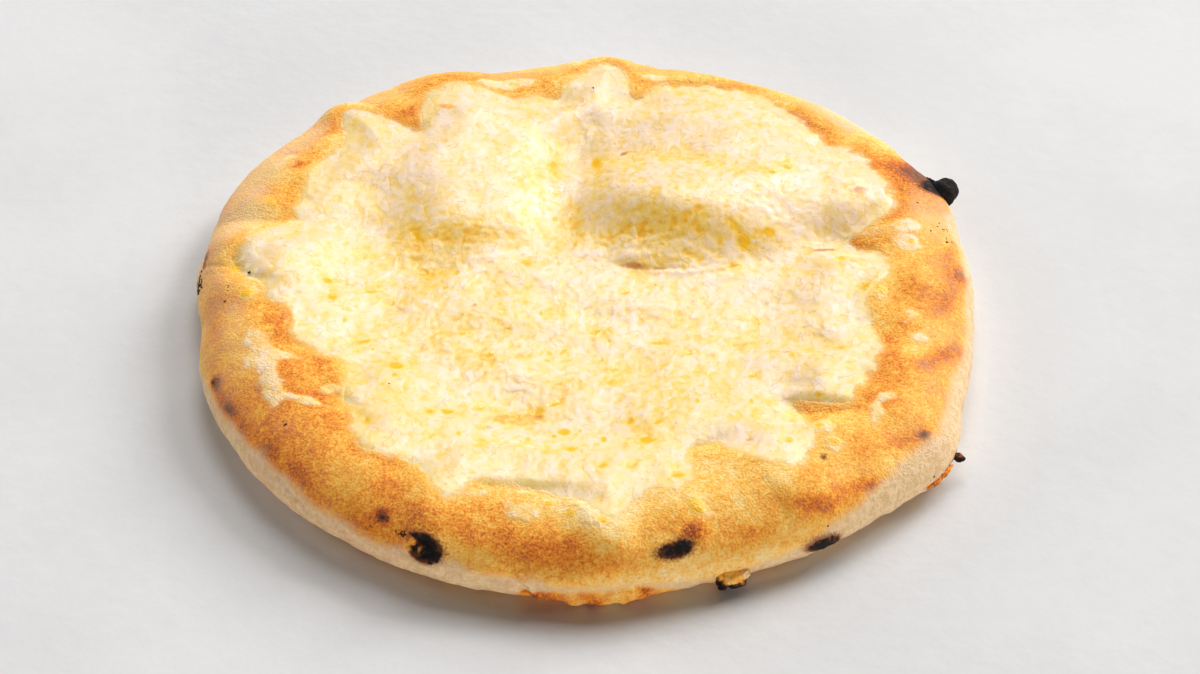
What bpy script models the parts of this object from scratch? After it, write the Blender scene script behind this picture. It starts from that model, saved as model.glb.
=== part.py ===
"""A cheese lepinja: a round flatbread with a puffed rim, and one thin uneven layer of melted cheese on it.

Metres, +Z up. The origin is under the middle of the bread, on the plane that it rests on.
+X is to the right of someone who stands at -Y and looks at the bread.

Both solids are made of rings of points round the middle. Each ring has SECTORS points or a half,
a quarter or an eighth of them. The cheese's underside repeats the rings of the bread's top, a gap
above them, so the two never touch.
"""

import math

import bmesh
import bpy
import numpy as np
from mathutils import Matrix, Vector

SECTORS = 128
GAP = 0.0003

# The bread's outline from above: a radius, and swells of it as direction, half-width and reach.
BREAD_RADIUS = 0.1206
BREAD_SWELLS = (
    (8, 16, 0.0008),
    (40, 16, 0.0046),
    (84, 12, 0.0022),
    (126, 13, 0.0056),
    (152, 15, 0.0060),
    (187, 6, -0.0024),
    (228, 16, 0.0012),
    (252, 12, 0.0014),
    (270, 6, 0.0008),
    (284, 6, -0.0006),
    (312, 14, 0.0026),
    (326, 8, 0.0058),
    (354, 10, -0.0015),
)

# The bread's section, from its middle out to the rim and down to its foot.
DISH_HEIGHT = 0.0150
RIM_HEIGHT = 0.0212
DISH_EDGE = 0.52
RIM_CREST = 0.82
SHOULDER_REACH = 0.0220
BARE_LEAST = 0.0020
BELLY_HEIGHT = 0.0085
FOOT_REACH = 0.0065
FOOT_SWELLS = ((225, 30, 0.0050), (275, 10, -0.0030))
RIM_SWELLS = (
    (30, 22, 0.0012),
    (62, 12, -0.0010),
    (118, 16, 0.0014),
    (165, 12, -0.0012),
    (205, 20, 0.0012),
    (262, 12, -0.0010),
    (300, 18, 0.0014),
    (345, 14, -0.0008),
)

# The cheese's outline from above, in the same way. Tongues reach out and notches cut in.
CHEESE_RADIUS = 0.0975
CHEESE_LOBES = (
    (4, 5, -0.0010),
    (11, 4, -0.0120),
    (22, 6, 0.0060),
    (34, 9, 0.0070),
    (38, 3, -0.0040),
    (60, 18, 0.0120),
    (80, 2.8, -0.0110),
    (87, 6, 0.0130),
    (97, 3, -0.0050),
    (104, 3, -0.0050),
    (117, 9, 0.0105),
    (127, 2.8, -0.0120),
    (134, 5, 0.0170),
    (148, 9, 0.0060),
    (163, 4, -0.0020),
    (175, 8, 0.0110),
    (193, 7, -0.0020),
    (211, 9, -0.0150),
    (231, 5, 0.0040),
    (248, 4, 0.0085),
    (259, 5, -0.0030),
    (274, 4, 0.0110),
    (284, 4, 0.0020),
    (293.5, 3.6, -0.0150),
    (305, 6, 0.0080),
    (317.5, 2.8, -0.0140),
    (332, 6, -0.0020),
    (351, 9, -0.0100),
)
CHEESE_THICKNESS = 0.0024
CHEESE_EDGE = 0.0009
CHEESE_EDGE_WIDTH = 0.0130

# Bubbles and dents of the dough: place, turn in degrees, half-length, reach forward, reach back, rise.
# The reach forward is towards -Y, so a bubble with a short one has a steep front.
BUBBLES = (
    (0.036, 0.036, 0, 0.044, 0.026, 0.050, 0.0088),
    (0.028, 0.029, 2, 0.038, 0.017, 0.015, 0.0024),
    (0.024, 0.055, -14, 0.030, 0.009, 0.010, -0.0038),
    (-0.036, 0.040, -4, 0.031, 0.030, 0.044, 0.0070),
    (-0.052, 0.060, 20, 0.030, 0.026, 0.026, 0.0012),
    (-0.008, 0.052, 90, 0.036, 0.007, 0.007, -0.0026),
    (0.019, 0.009, 0, 0.012, 0.004, 0.004, -0.0022),
    (0.052, 0.006, 12, 0.030, 0.005, 0.006, -0.0014),
    (-0.042, 0.011, 0, 0.016, 0.005, 0.007, -0.0020),
    (-0.092, 0.011, 0, 0.018, 0.016, 0.016, 0.0034),
    (0.085, 0.042, 30, 0.018, 0.014, 0.014, 0.0028),
    (0.074, -0.006, 0, 0.020, 0.018, 0.018, 0.0022),
    (0.030, -0.062, 40, 0.018, 0.014, 0.014, 0.0028),
    (0.066, -0.048, -30, 0.018, 0.013, 0.013, 0.0020),
    (-0.019, -0.061, 8, 0.013, 0.009, 0.009, -0.0030),
    (-0.014, -0.084, 0, 0.026, 0.010, 0.010, 0.0016),
    (-0.062, -0.046, -35, 0.020, 0.014, 0.014, 0.0018),
    (-0.030, -0.012, 0, 0.024, 0.018, 0.018, 0.0014),
    (0.004, -0.034, 0, 0.022, 0.014, 0.014, -0.0012),
)

# Low unevenness of the crust and clumps of the cheese: sums of waves of random direction.
CRUST_WAVES = {"seed": 5, "shortest": 0.018, "longest": 0.060, "height": 0.0007}
CHEESE_WAVES = {"seed": 11, "shortest": 0.0135, "longest": 0.030, "height": 0.0008}
WAVE_COUNT = 14

# Rings of the top under the cheese, as shares of the way to the cheese's edge, with their points.
TOP_RINGS = (
    (0.10, 16),
    (0.18, 32),
    (0.255, 32),
    (0.33, 64),
    (0.40, 64),
    (0.47, 64),
    (0.535, 128),
    (0.60, 128),
    (0.665, 128),
    (0.73, 128),
    (0.79, 128),
    (0.85, 128),
    (0.905, 128),
    (0.955, 128),
    (1.0, 128),
)
CRUST_STEPS = 4
SHOULDER_STEPS = 6
FOOT_STEPS = 3
BASE_RINGS = ((0.72, 64), (0.36, 32))

# Burnt and torn bits of the rim. A place on it is a direction and a drop: 0 degrees at the crest,
# 90 at the belly and 180 at the foot. Then come the length along the rim, the thickness outwards, the
# height down the rim, how far the middle stands proud, and a turn about the outward line in degrees.
RIM_BITS = {
    "burnt knob": (24.4, 72, 0.0082, 0.0090, 0.0078, 0.0046, 0),
    "knob neck": (24.3, 68, 0.0100, 0.0070, 0.0100, 0.0012, 0),
    "oval blister": (282.2, 55, 0.0125, 0.0030, 0.0066, 0.0002, 4),
    "low blister": (303.0, 98, 0.0120, 0.0036, 0.0056, 0.0002, 12),
    "bottom flake": (290.5, 122, 0.0090, 0.0056, 0.0028, 0.0014, 8),
    "burnt tip": (328.2, 104, 0.0044, 0.0050, 0.0034, 0.0014, 0),
    "burnt edge": (324.6, 104, 0.0150, 0.0024, 0.0022, 0.0002, 0),
    "left flake": (174.0, 92, 0.0160, 0.0032, 0.0080, -0.0004, 0),
    "fold lip": (261.2, 84, 0.0040, 0.0034, 0.0130, 0.0000, 38),
    "fold end": (264.8, 116, 0.0080, 0.0032, 0.0056, 0.0000, 0),
}
BURST_BLISTER = (248.0, 63)
BURST_RING_RADIUS = 0.0036
BURST_RING_THICKNESS = 0.0026
BURST_STRETCH = 1.25


def clear_scene():
    """Takes every object out of the scene."""
    for obj in list(bpy.data.objects):
        bpy.data.objects.remove(obj, do_unlink=True)


def smooth_step(value, start, end):
    """0 up to start, 1 from end, and an S-curve between."""
    share = np.clip((value - start) / (end - start), 0, 1)
    return share * share * (3 - 2 * share)


def swelled(base, swells, direction):
    """The base value plus each swell, a bell curve of its half-width about its direction, in degrees."""
    total = np.full(np.shape(direction), base, float)
    for middle, half_width, reach in swells:
        off = (direction - middle + 180) % 360 - 180
        total = total + reach * np.exp(-((off / half_width) ** 2))
    return total


def bread_radius(direction):
    return swelled(BREAD_RADIUS, BREAD_SWELLS, direction)


def cheese_radius(direction):
    return swelled(CHEESE_RADIUS, CHEESE_LOBES, direction)


def waves(x, y, seed, shortest, longest, height):
    """A sum of WAVE_COUNT plane waves of seeded direction, length and phase, scaled to about height."""
    draw = np.random.default_rng(seed)
    total = np.zeros(np.shape(x))
    for _ in range(WAVE_COUNT):
        heading = draw.uniform(0, math.tau)
        length = draw.uniform(shortest, longest)
        phase = draw.uniform(0, math.tau)
        along = x * math.cos(heading) + y * math.sin(heading)
        total = total + np.sin(math.tau * along / length + phase)
    return height * total / math.sqrt(WAVE_COUNT)


def bubble(x, y, middle_x, middle_y, turn, half_length, forward, back, rise):
    """A full dome or dent with a rounded foot: rise times (1 - d^4)^1.5, d being 1 on its outline."""
    angle = math.radians(turn)
    along = (x - middle_x) * math.cos(angle) + (y - middle_y) * math.sin(angle)
    across = (y - middle_y) * math.cos(angle) - (x - middle_x) * math.sin(angle)
    reach = np.where(across < 0, forward, back)
    squared = (along / half_length) ** 2 + (across / reach) ** 2
    return rise * np.clip(1 - squared**2, 0, 1) ** 1.5


def top_height(x, y):
    """The height of the bread's top, as far out as the rim's crest goes on."""
    direction = np.degrees(np.arctan2(y, x)) % 360
    share = np.hypot(x, y) / bread_radius(direction)
    rim = swelled(RIM_HEIGHT, RIM_SWELLS, direction)
    height = DISH_HEIGHT + (rim - DISH_HEIGHT) * smooth_step(share, DISH_EDGE, RIM_CREST)
    for place in BUBBLES:
        height = height + bubble(x, y, *place)
    return height + waves(x, y, **CRUST_WAVES)


def ring_points(radius, direction, height):
    """Points as rows of x, y and z, from polar places."""
    angle = np.radians(direction)
    return np.stack([radius * np.cos(angle), radius * np.sin(angle), height], axis=1)


def directions(count):
    return np.arange(count) * 360 / count


def top_rings():
    """The rings of the bread's top under the cheese, from near the middle to the cheese's edge."""
    rings = []
    for share, count in TOP_RINGS:
        direction = directions(count)
        # Inner rings are round, and outer ones take on the edge's tongues and notches.
        edge = CHEESE_RADIUS + (cheese_radius(direction) - CHEESE_RADIUS) * share**3
        points = ring_points(share * edge, direction, np.zeros(count))
        points[:, 2] = top_height(points[:, 0], points[:, 1])
        rings.append(points)
    return rings


def crest_radius(direction):
    """Where the shoulder starts: inside the belly, but always a little outside the cheese."""
    return np.maximum(bread_radius(direction) - SHOULDER_REACH, cheese_radius(direction) + BARE_LEAST)


def crust_rings():
    """The rings of the bare crust, from beyond the cheese's edge to where the shoulder starts."""
    direction = directions(SECTORS)
    start = cheese_radius(direction)
    end = crest_radius(direction)
    rings = []
    for step in range(1, CRUST_STEPS + 1):
        radius = start + (end - start) * step / CRUST_STEPS
        points = ring_points(radius, direction, np.zeros(SECTORS))
        points[:, 2] = top_height(points[:, 0], points[:, 1])
        rings.append(points)
    return rings


def rim_section(direction, drop):
    """Radius and height of the rim's outer side, and the radius and height parts of its outward line.

    The shoulder is a quarter of an ellipse from the crest to the belly, and the foot is another from
    the belly in to the base. The drop is 0 at the crest, 90 at the belly and 180 at the base.
    """
    belly = bread_radius(direction)
    start = crest_radius(direction)
    angle = np.radians(direction)
    top = top_height(start * np.cos(angle), start * np.sin(angle))
    turned = math.radians(drop)
    if drop <= 90:
        reach, rise = belly - start, top - BELLY_HEIGHT
        radius = start + reach * math.sin(turned)
        height = BELLY_HEIGHT + rise * math.cos(turned)
    else:
        reach, rise = swelled(FOOT_REACH, FOOT_SWELLS, direction), BELLY_HEIGHT
        radius = belly - reach * (1 - math.sin(turned))
        height = BELLY_HEIGHT * (1 + math.cos(turned))
    return radius, height, math.sin(turned) / reach, math.cos(turned) / rise


def side_rings():
    """The shoulder from below the crest down to the belly, and the foot from there in to the base."""
    direction = directions(SECTORS)
    drops = [90 * step / SHOULDER_STEPS for step in range(1, SHOULDER_STEPS + 1)]
    drops += [90 + 90 * step / FOOT_STEPS for step in range(1, FOOT_STEPS + 1)]
    rings = []
    for drop in drops:
        radius, height, _, _ = rim_section(direction, drop)
        rings.append(ring_points(radius, direction, np.broadcast_to(height, SECTORS)))
    return rings


def base_rings(foot):
    """Flat rings inwards over the base."""
    rings = []
    for share, count in BASE_RINGS:
        points = foot[:: SECTORS // count] * share
        points[:, 2] = 0
        rings.append(points)
    return rings


def bridge(bm, inner, outer):
    """Triangles between two rings that run anticlockwise, where one may have twice the other's points."""
    count = max(len(inner), len(outer))
    for i in range(count):
        here_in, here_out = i * len(inner) // count, i * len(outer) // count
        next_in = (i + 1) * len(inner) // count % len(inner)
        next_out = (i + 1) * len(outer) // count % len(outer)
        if here_out != next_out:
            bm.faces.new((inner[here_in], outer[here_out], outer[next_out]))
        if here_in != next_in:
            bm.faces.new((inner[here_in], outer[next_out], inner[next_in]))


def fan(bm, middle, ring):
    """Triangles from a middle point out to a ring that runs anticlockwise."""
    for here, following in zip(ring, ring[1:] + ring[:1]):
        bm.faces.new((middle, here, following))


def add_sheet(bm, middle, rings):
    """A sheet of rings about a middle point. It returns its outermost ring."""
    ring = None
    for points in rings:
        outer = [bm.verts.new(point) for point in points]
        if ring is None:
            fan(bm, bm.verts.new(middle), outer)
        else:
            bridge(bm, ring, outer)
        ring = outer
    return ring


def object_from(bm, name, material):
    """A smooth-shaded object of that name from a closed bmesh, its faces turned outwards."""
    bmesh.ops.recalc_face_normals(bm, faces=bm.faces)
    mesh = bpy.data.meshes.new(name)
    bm.to_mesh(mesh)
    bm.free()
    mesh.materials.append(material)
    mesh.shade_smooth()
    obj = bpy.data.objects.new(name, mesh)
    bpy.context.scene.collection.objects.link(obj)
    return obj


def principled(name, color, roughness):
    material = bpy.data.materials.new(name)
    material.use_nodes = True
    shader = material.node_tree.nodes["Principled BSDF"]
    shader.inputs["Base Color"].default_value = (*color, 1)
    shader.inputs["Roughness"].default_value = roughness
    shader.inputs["Metallic"].default_value = 0
    return material


def outward_frame(direction, drop, proud=0.0, turn=0.0):
    """A place and turn on the rim: X runs along the rim and Y outwards, and turn goes about Y."""
    radius, height, out, up = (float(value) for value in rim_section(np.float64(direction), drop))
    radial = Matrix.Rotation(math.radians(direction - 90), 3, "Z")
    lean = Matrix.Rotation(math.atan2(up, out), 3, "X")
    frame = radial @ lean @ Matrix.Rotation(math.radians(turn), 3, "Y")
    place = radial @ Vector((0, radius, height)) + frame @ Vector((0, proud, 0))
    return Matrix.Translation(place) @ frame.to_4x4()


def rough_blob(name, bit, material):
    """An uneven ball stretched to the bit's size, as a helper object."""
    direction, drop, length, thickness, height, proud, turn = bit
    bm = bmesh.new()
    bmesh.ops.create_icosphere(bm, subdivisions=2, radius=0.5)
    for vert in bm.verts:
        vert.co *= 1 + 0.10 * math.sin(7 * vert.co.x + 11 * vert.co.y + 5 * vert.co.z + direction)
    size = Matrix.Diagonal((length, thickness, height, 1))
    bmesh.ops.transform(bm, matrix=outward_frame(direction, drop, proud, turn) @ size, verts=bm.verts)
    return object_from(bm, name, material)


def burst_ring(name, material):
    """The raised ring that a burst blister leaves, as a helper object: a torus stretched along the rim."""
    bpy.ops.mesh.primitive_torus_add(
        major_segments=16,
        minor_segments=6,
        major_radius=BURST_RING_RADIUS,
        minor_radius=BURST_RING_THICKNESS / 2,
    )
    obj = bpy.context.object
    obj.name = name
    obj.data.materials.append(material)
    flat_on_rim = Matrix.Rotation(math.pi / 2, 4, "X")
    stretch = Matrix.Diagonal((BURST_STRETCH, 1, 1, 1))
    obj.data.transform(outward_frame(*BURST_BLISTER) @ stretch @ flat_on_rim)
    return obj


def fuse_bits(bread, material):
    """Joins the burnt and torn bits to the bread by one Boolean union, then removes the helpers."""
    bits = bpy.data.collections.new("rim bits")
    bpy.context.scene.collection.children.link(bits)
    helpers = [rough_blob(name, bit, material) for name, bit in RIM_BITS.items()]
    helpers.append(burst_ring("burst blister", material))
    for helper in helpers:
        for holder in list(helper.users_collection):
            holder.objects.unlink(helper)
        bits.objects.link(helper)
    union = bread.modifiers.new("fuse rim bits", "BOOLEAN")
    union.operation = "UNION"
    union.operand_type = "COLLECTION"
    union.collection = bits
    union.solver = "EXACT"
    bpy.ops.object.select_all(action="DESELECT")
    bpy.context.view_layer.objects.active = bread
    bread.select_set(True)
    bpy.ops.object.modifier_apply(modifier=union.name)
    for helper in helpers:
        bpy.data.objects.remove(helper, do_unlink=True)
    bpy.data.collections.remove(bits)


def make_bread():
    """The lepinja: dished top with bubbles, thick rim, narrower foot and flat base, in one piece."""
    crust = principled("baked crust", (0.72, 0.42, 0.16), 0.62)
    bm = bmesh.new()
    under_cheese = top_rings()
    bare = crust_rings()
    sides = side_rings()
    base = base_rings(sides[-1])
    rings = under_cheese + bare + sides + base
    middle = (0, 0, float(top_height(np.zeros(1), np.zeros(1))[0]))
    last = add_sheet(bm, middle, rings)
    fan(bm, bm.verts.new((0, 0, 0)), last[::-1])
    bread = object_from(bm, "bread", crust)
    fuse_bits(bread, crust)
    return bread


def cheese_thickness(x, y):
    """Thin at the edge, full a little way in, and clumped."""
    direction = np.degrees(np.arctan2(y, x)) % 360
    inwards = cheese_radius(direction) - np.hypot(x, y)
    body = smooth_step(inwards, 0, CHEESE_EDGE_WIDTH)
    clumps = waves(x, y, **CHEESE_WAVES)
    return CHEESE_EDGE + body * (CHEESE_THICKNESS - CHEESE_EDGE + clumps)


def lifted(points, by):
    moved = points.copy()
    moved[:, 2] += by
    return moved


def make_cheese():
    """The melted cheese: one layer that follows the bread's top, with an uneven edge of its own."""
    melted = principled("melted cheese", (0.93, 0.80, 0.48), 0.42)
    bm = bmesh.new()
    bread_top = top_rings()
    middle = np.array([[0, 0, float(top_height(np.zeros(1), np.zeros(1))[0])]])
    under = [lifted(points, GAP) for points in bread_top]
    over = [lifted(points, GAP + cheese_thickness(points[:, 0], points[:, 1])) for points in bread_top]
    middle_over = lifted(middle, GAP + cheese_thickness(middle[:, 0], middle[:, 1]))
    outer_over = add_sheet(bm, middle_over[0], over)
    outer_under = add_sheet(bm, lifted(middle, GAP)[0], under)
    bridge(bm, outer_over, outer_under)
    return object_from(bm, "cheese", melted)


def main():
    clear_scene()
    make_bread()
    make_cheese()


main()
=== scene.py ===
"""A cheese lepinja: a baked flatbread with a puffed rim under melted, shredded cheese, on a pale floor.

Metres, +Z up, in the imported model's frame: the origin is under the bread's middle, on the plane that
it rests on, and +X is to the right of someone who looks at it from -Y. A place on the rim is given as
a direction, in degrees round from +X, and a drop: 0 at the rim's crest, 90 at its belly and 180 at
the foot. A place on the top is given in plan, in millimetres.
"""

import logging
import math
from collections.abc import Mapping, Sequence
from dataclasses import dataclass, field
from enum import Enum
from typing import Any

import bpy
import numpy as np
from numpy.typing import NDArray
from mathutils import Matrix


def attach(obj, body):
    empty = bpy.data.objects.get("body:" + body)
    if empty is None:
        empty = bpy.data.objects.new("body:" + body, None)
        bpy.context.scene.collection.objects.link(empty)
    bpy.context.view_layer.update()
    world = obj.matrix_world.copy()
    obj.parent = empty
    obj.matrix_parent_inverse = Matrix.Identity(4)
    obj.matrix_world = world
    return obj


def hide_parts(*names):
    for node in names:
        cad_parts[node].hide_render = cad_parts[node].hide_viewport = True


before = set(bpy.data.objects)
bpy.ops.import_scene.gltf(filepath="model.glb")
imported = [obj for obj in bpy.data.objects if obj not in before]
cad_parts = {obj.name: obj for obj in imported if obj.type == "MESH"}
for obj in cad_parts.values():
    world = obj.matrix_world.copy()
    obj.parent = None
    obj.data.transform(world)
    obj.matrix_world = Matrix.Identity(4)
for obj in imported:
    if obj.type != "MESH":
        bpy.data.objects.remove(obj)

LOG = logging.getLogger("cheese lepinja")
MILLIMETRE = 0.001
# The drop of the rim's belly, and how covered the skin is where no cheese is near.
BELLY = 90
NO_CHEESE = -1.5

Array = NDArray[np.float64]
Colour = tuple[float, float, float]
Stops = tuple[tuple[float, Colour], ...]
Levels = tuple[tuple[float, ...], ...]
Swells = tuple[tuple[float, float, float], ...]
Ovals = tuple[tuple[float, float, float, float, float, float], ...]


# ---- Shapes and fields -------------------------------------------------------------------------


def display(red: int, green: int, blue: int) -> Colour:
    """A colour given as it shows on a display.

    Args:
        red: from 0 to 255.
        green: from 0 to 255.
        blue: from 0 to 255.

    Returns:
        The same colour in linear light, each part from 0 to 1.
    """
    shares = [value / 255 for value in (red, green, blue)]
    linear = [s / 12.92 if s <= 0.04045 else ((s + 0.055) / 1.055) ** 2.4 for s in shares]
    return linear[0], linear[1], linear[2]


def smooth_step(value: Array, start: float, end: float) -> Array:
    """0 up to start, 1 from end, and an S-curve between.

    Args:
        value: what is compared with the two ends.
        start: where the rise begins.
        end: where it is complete.

    Returns:
        3s^2 - 2s^3, s being the share of the way from start to end.
    """
    share = np.clip((value - start) / (end - start), 0, 1)
    return share * share * (3 - 2 * share)


def swelled(base: float, swells: Swells, direction: Array) -> Array:
    """A base value plus bell curves about directions.

    Args:
        base: the value away from every swell.
        swells: the middle and half-width of each swell in degrees, and its reach.
        direction: where it is wanted, in degrees.

    Returns:
        base + the sum of reach * exp(-(offset / half-width)^2).
    """
    total = np.full(np.shape(direction), base, float)
    for middle, half_width, reach in swells:
        offset = (direction - middle + 180) % 360 - 180
        total = total + reach * np.exp(-((offset / half_width) ** 2))
    return total


def unit(vectors: Array) -> Array:
    """The vectors at length one."""
    return vectors / np.maximum(np.linalg.norm(vectors, axis=-1, keepdims=True), 1e-12)


def direction_of(x: Array, y: Array) -> Array:
    """The direction of plan places, in degrees round from +X."""
    return np.degrees(np.arctan2(y, x)) % 360


@dataclass(frozen=True)
class Waves:
    """A sum of plane waves of seeded heading, length and phase."""

    seed: int
    shortest: float
    longest: float
    height: float
    count: int = 14

    def at(self, x: Array, y: Array) -> Array:
        """The waves' height over plan places.

        Args:
            x: places along X.
            y: places along Y.

        Returns:
            height * the sum of sin(2 pi * along / length + phase) / sqrt(count).
        """
        draw = np.random.default_rng(self.seed)
        total = np.zeros(np.shape(x))
        for _ in range(self.count):
            heading = draw.uniform(0, math.tau)
            length = draw.uniform(self.shortest, self.longest)
            phase = draw.uniform(0, math.tau)
            along = x * math.cos(heading) + y * math.sin(heading)
            total = total + np.sin(math.tau * along / length + phase)
        return self.height * total / math.sqrt(self.count)


@dataclass(frozen=True)
class Lumps:
    """Soft random unevenness in space: seeded values on a lattice, smoothly blended between its knots."""

    seed: int
    size: float
    octaves: int = 3
    knots: int = 32

    def at(self, points: Array) -> Array:
        """The unevenness at points, about -1 to 1.

        Args:
            points: rows of x, y and z.

        Returns:
            The sum over octaves of lattice values blended by s^2 (3 - 2s) along each axis. Each
            octave has half the size and half the height of the one before.
        """
        draw = np.random.default_rng(self.seed)
        total = np.zeros(len(points))
        weight, size = 1.0, self.size
        for _ in range(self.octaves):
            values = draw.uniform(-1, 1, (self.knots,) * 3)
            scaled = points / size + draw.uniform(0, self.knots, 3)
            low = np.floor(scaled).astype(int)
            share = scaled - low
            share = share * share * (3 - 2 * share)
            low, high = low % self.knots, (low + 1) % self.knots
            for corner in np.ndindex(2, 2, 2):
                knot = [high[:, axis] if corner[axis] else low[:, axis] for axis in range(3)]
                near = [share[:, axis] if corner[axis] else 1 - share[:, axis] for axis in range(3)]
                total += weight * near[0] * near[1] * near[2] * values[knot[0], knot[1], knot[2]]
            weight, size = weight / 2, size / 2
        return total


@dataclass
class Surface:
    """A mesh in the making: points, faces of three or four corners, and values for each point."""

    points: Array
    quads: NDArray[np.int64]
    triangles: NDArray[np.int64]
    values: dict[str, Array] = field(default_factory=dict)

    @staticmethod
    def joined(parts: Sequence["Surface"]) -> "Surface":
        """One surface of several closed ones.

        Args:
            parts: surfaces that all hold the same named values.

        Returns:
            The parts together, each part's corners counted on from the one before.
        """
        starts = np.cumsum([0] + [len(part.points) for part in parts[:-1]])
        return Surface(
            np.concatenate([part.points for part in parts]),
            np.concatenate([part.quads + start for part, start in zip(parts, starts)]),
            np.concatenate([part.triangles + start for part, start in zip(parts, starts)]),
            {name: np.concatenate([part.values[name] for part in parts]) for name in parts[0].values},
        )

    def to_object(self, name: str, material: bpy.types.Material) -> bpy.types.Object:
        """A smooth-shaded mesh object at the origin.

        Args:
            name: the piece's name.
            material: its one material.

        Returns:
            The object, linked to the scene, with each named value as a point attribute.
        """
        corners = np.concatenate([self.quads.ravel(), self.triangles.ravel()]).astype(np.int32)
        totals = np.repeat([4, 3], [len(self.quads), len(self.triangles)]).astype(np.int32)
        mesh = bpy.data.meshes.new(name)
        mesh.vertices.add(len(self.points))
        mesh.vertices.foreach_set("co", self.points.astype(np.float32).ravel())
        mesh.loops.add(len(corners))
        mesh.loops.foreach_set("vertex_index", corners)
        mesh.polygons.add(len(totals))
        mesh.polygons.foreach_set("loop_start", (np.cumsum(totals) - totals).astype(np.int32))
        mesh.update(calc_edges=True)
        for key, value in self.values.items():
            attribute = mesh.attributes.new(key, "FLOAT", "POINT")
            attribute.data.foreach_set("value", value.astype(np.float32))
        mesh.validate()
        mesh.materials.append(material)
        mesh.shade_smooth()
        piece = bpy.data.objects.new(name, mesh)
        bpy.context.scene.collection.objects.link(piece)
        return piece


def ring_grid(rows: int, columns: int, first: int = 0) -> NDArray[np.int64]:
    """Quads over rows of points that each close into a ring.

    Args:
        rows: how many rings there are.
        columns: how many points each has, anticlockwise.
        first: the number of the first ring's first point.

    Returns:
        Corners that run from a ring to the next and on anticlockwise, so faces point outwards where
        rings go outwards over a top.
    """
    row, column = np.meshgrid(np.arange(rows - 1), np.arange(columns), indexing="ij")
    following = (column + 1) % columns
    corners = [row * columns + column, (row + 1) * columns + column]
    corners += [(row + 1) * columns + following, row * columns + following]
    return first + np.stack([corner.ravel() for corner in corners], axis=1)


def fan(middle: int, ring: NDArray[np.int64], upwards: bool) -> NDArray[np.int64]:
    """Triangles between a middle point and an anticlockwise ring.

    Args:
        middle: the number of the middle point.
        ring: the numbers of the ring's points.
        upwards: whether the triangles face up, as over a top, or down.

    Returns:
        Corners: the middle, a point of the ring and its neighbour.
    """
    following = np.roll(ring, -1)
    turned = [ring, following] if upwards else [following, ring]
    return np.stack([np.full(len(ring), middle), *turned], axis=1)


# ---- The lepinja's form ------------------------------------------------------------------------


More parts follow.
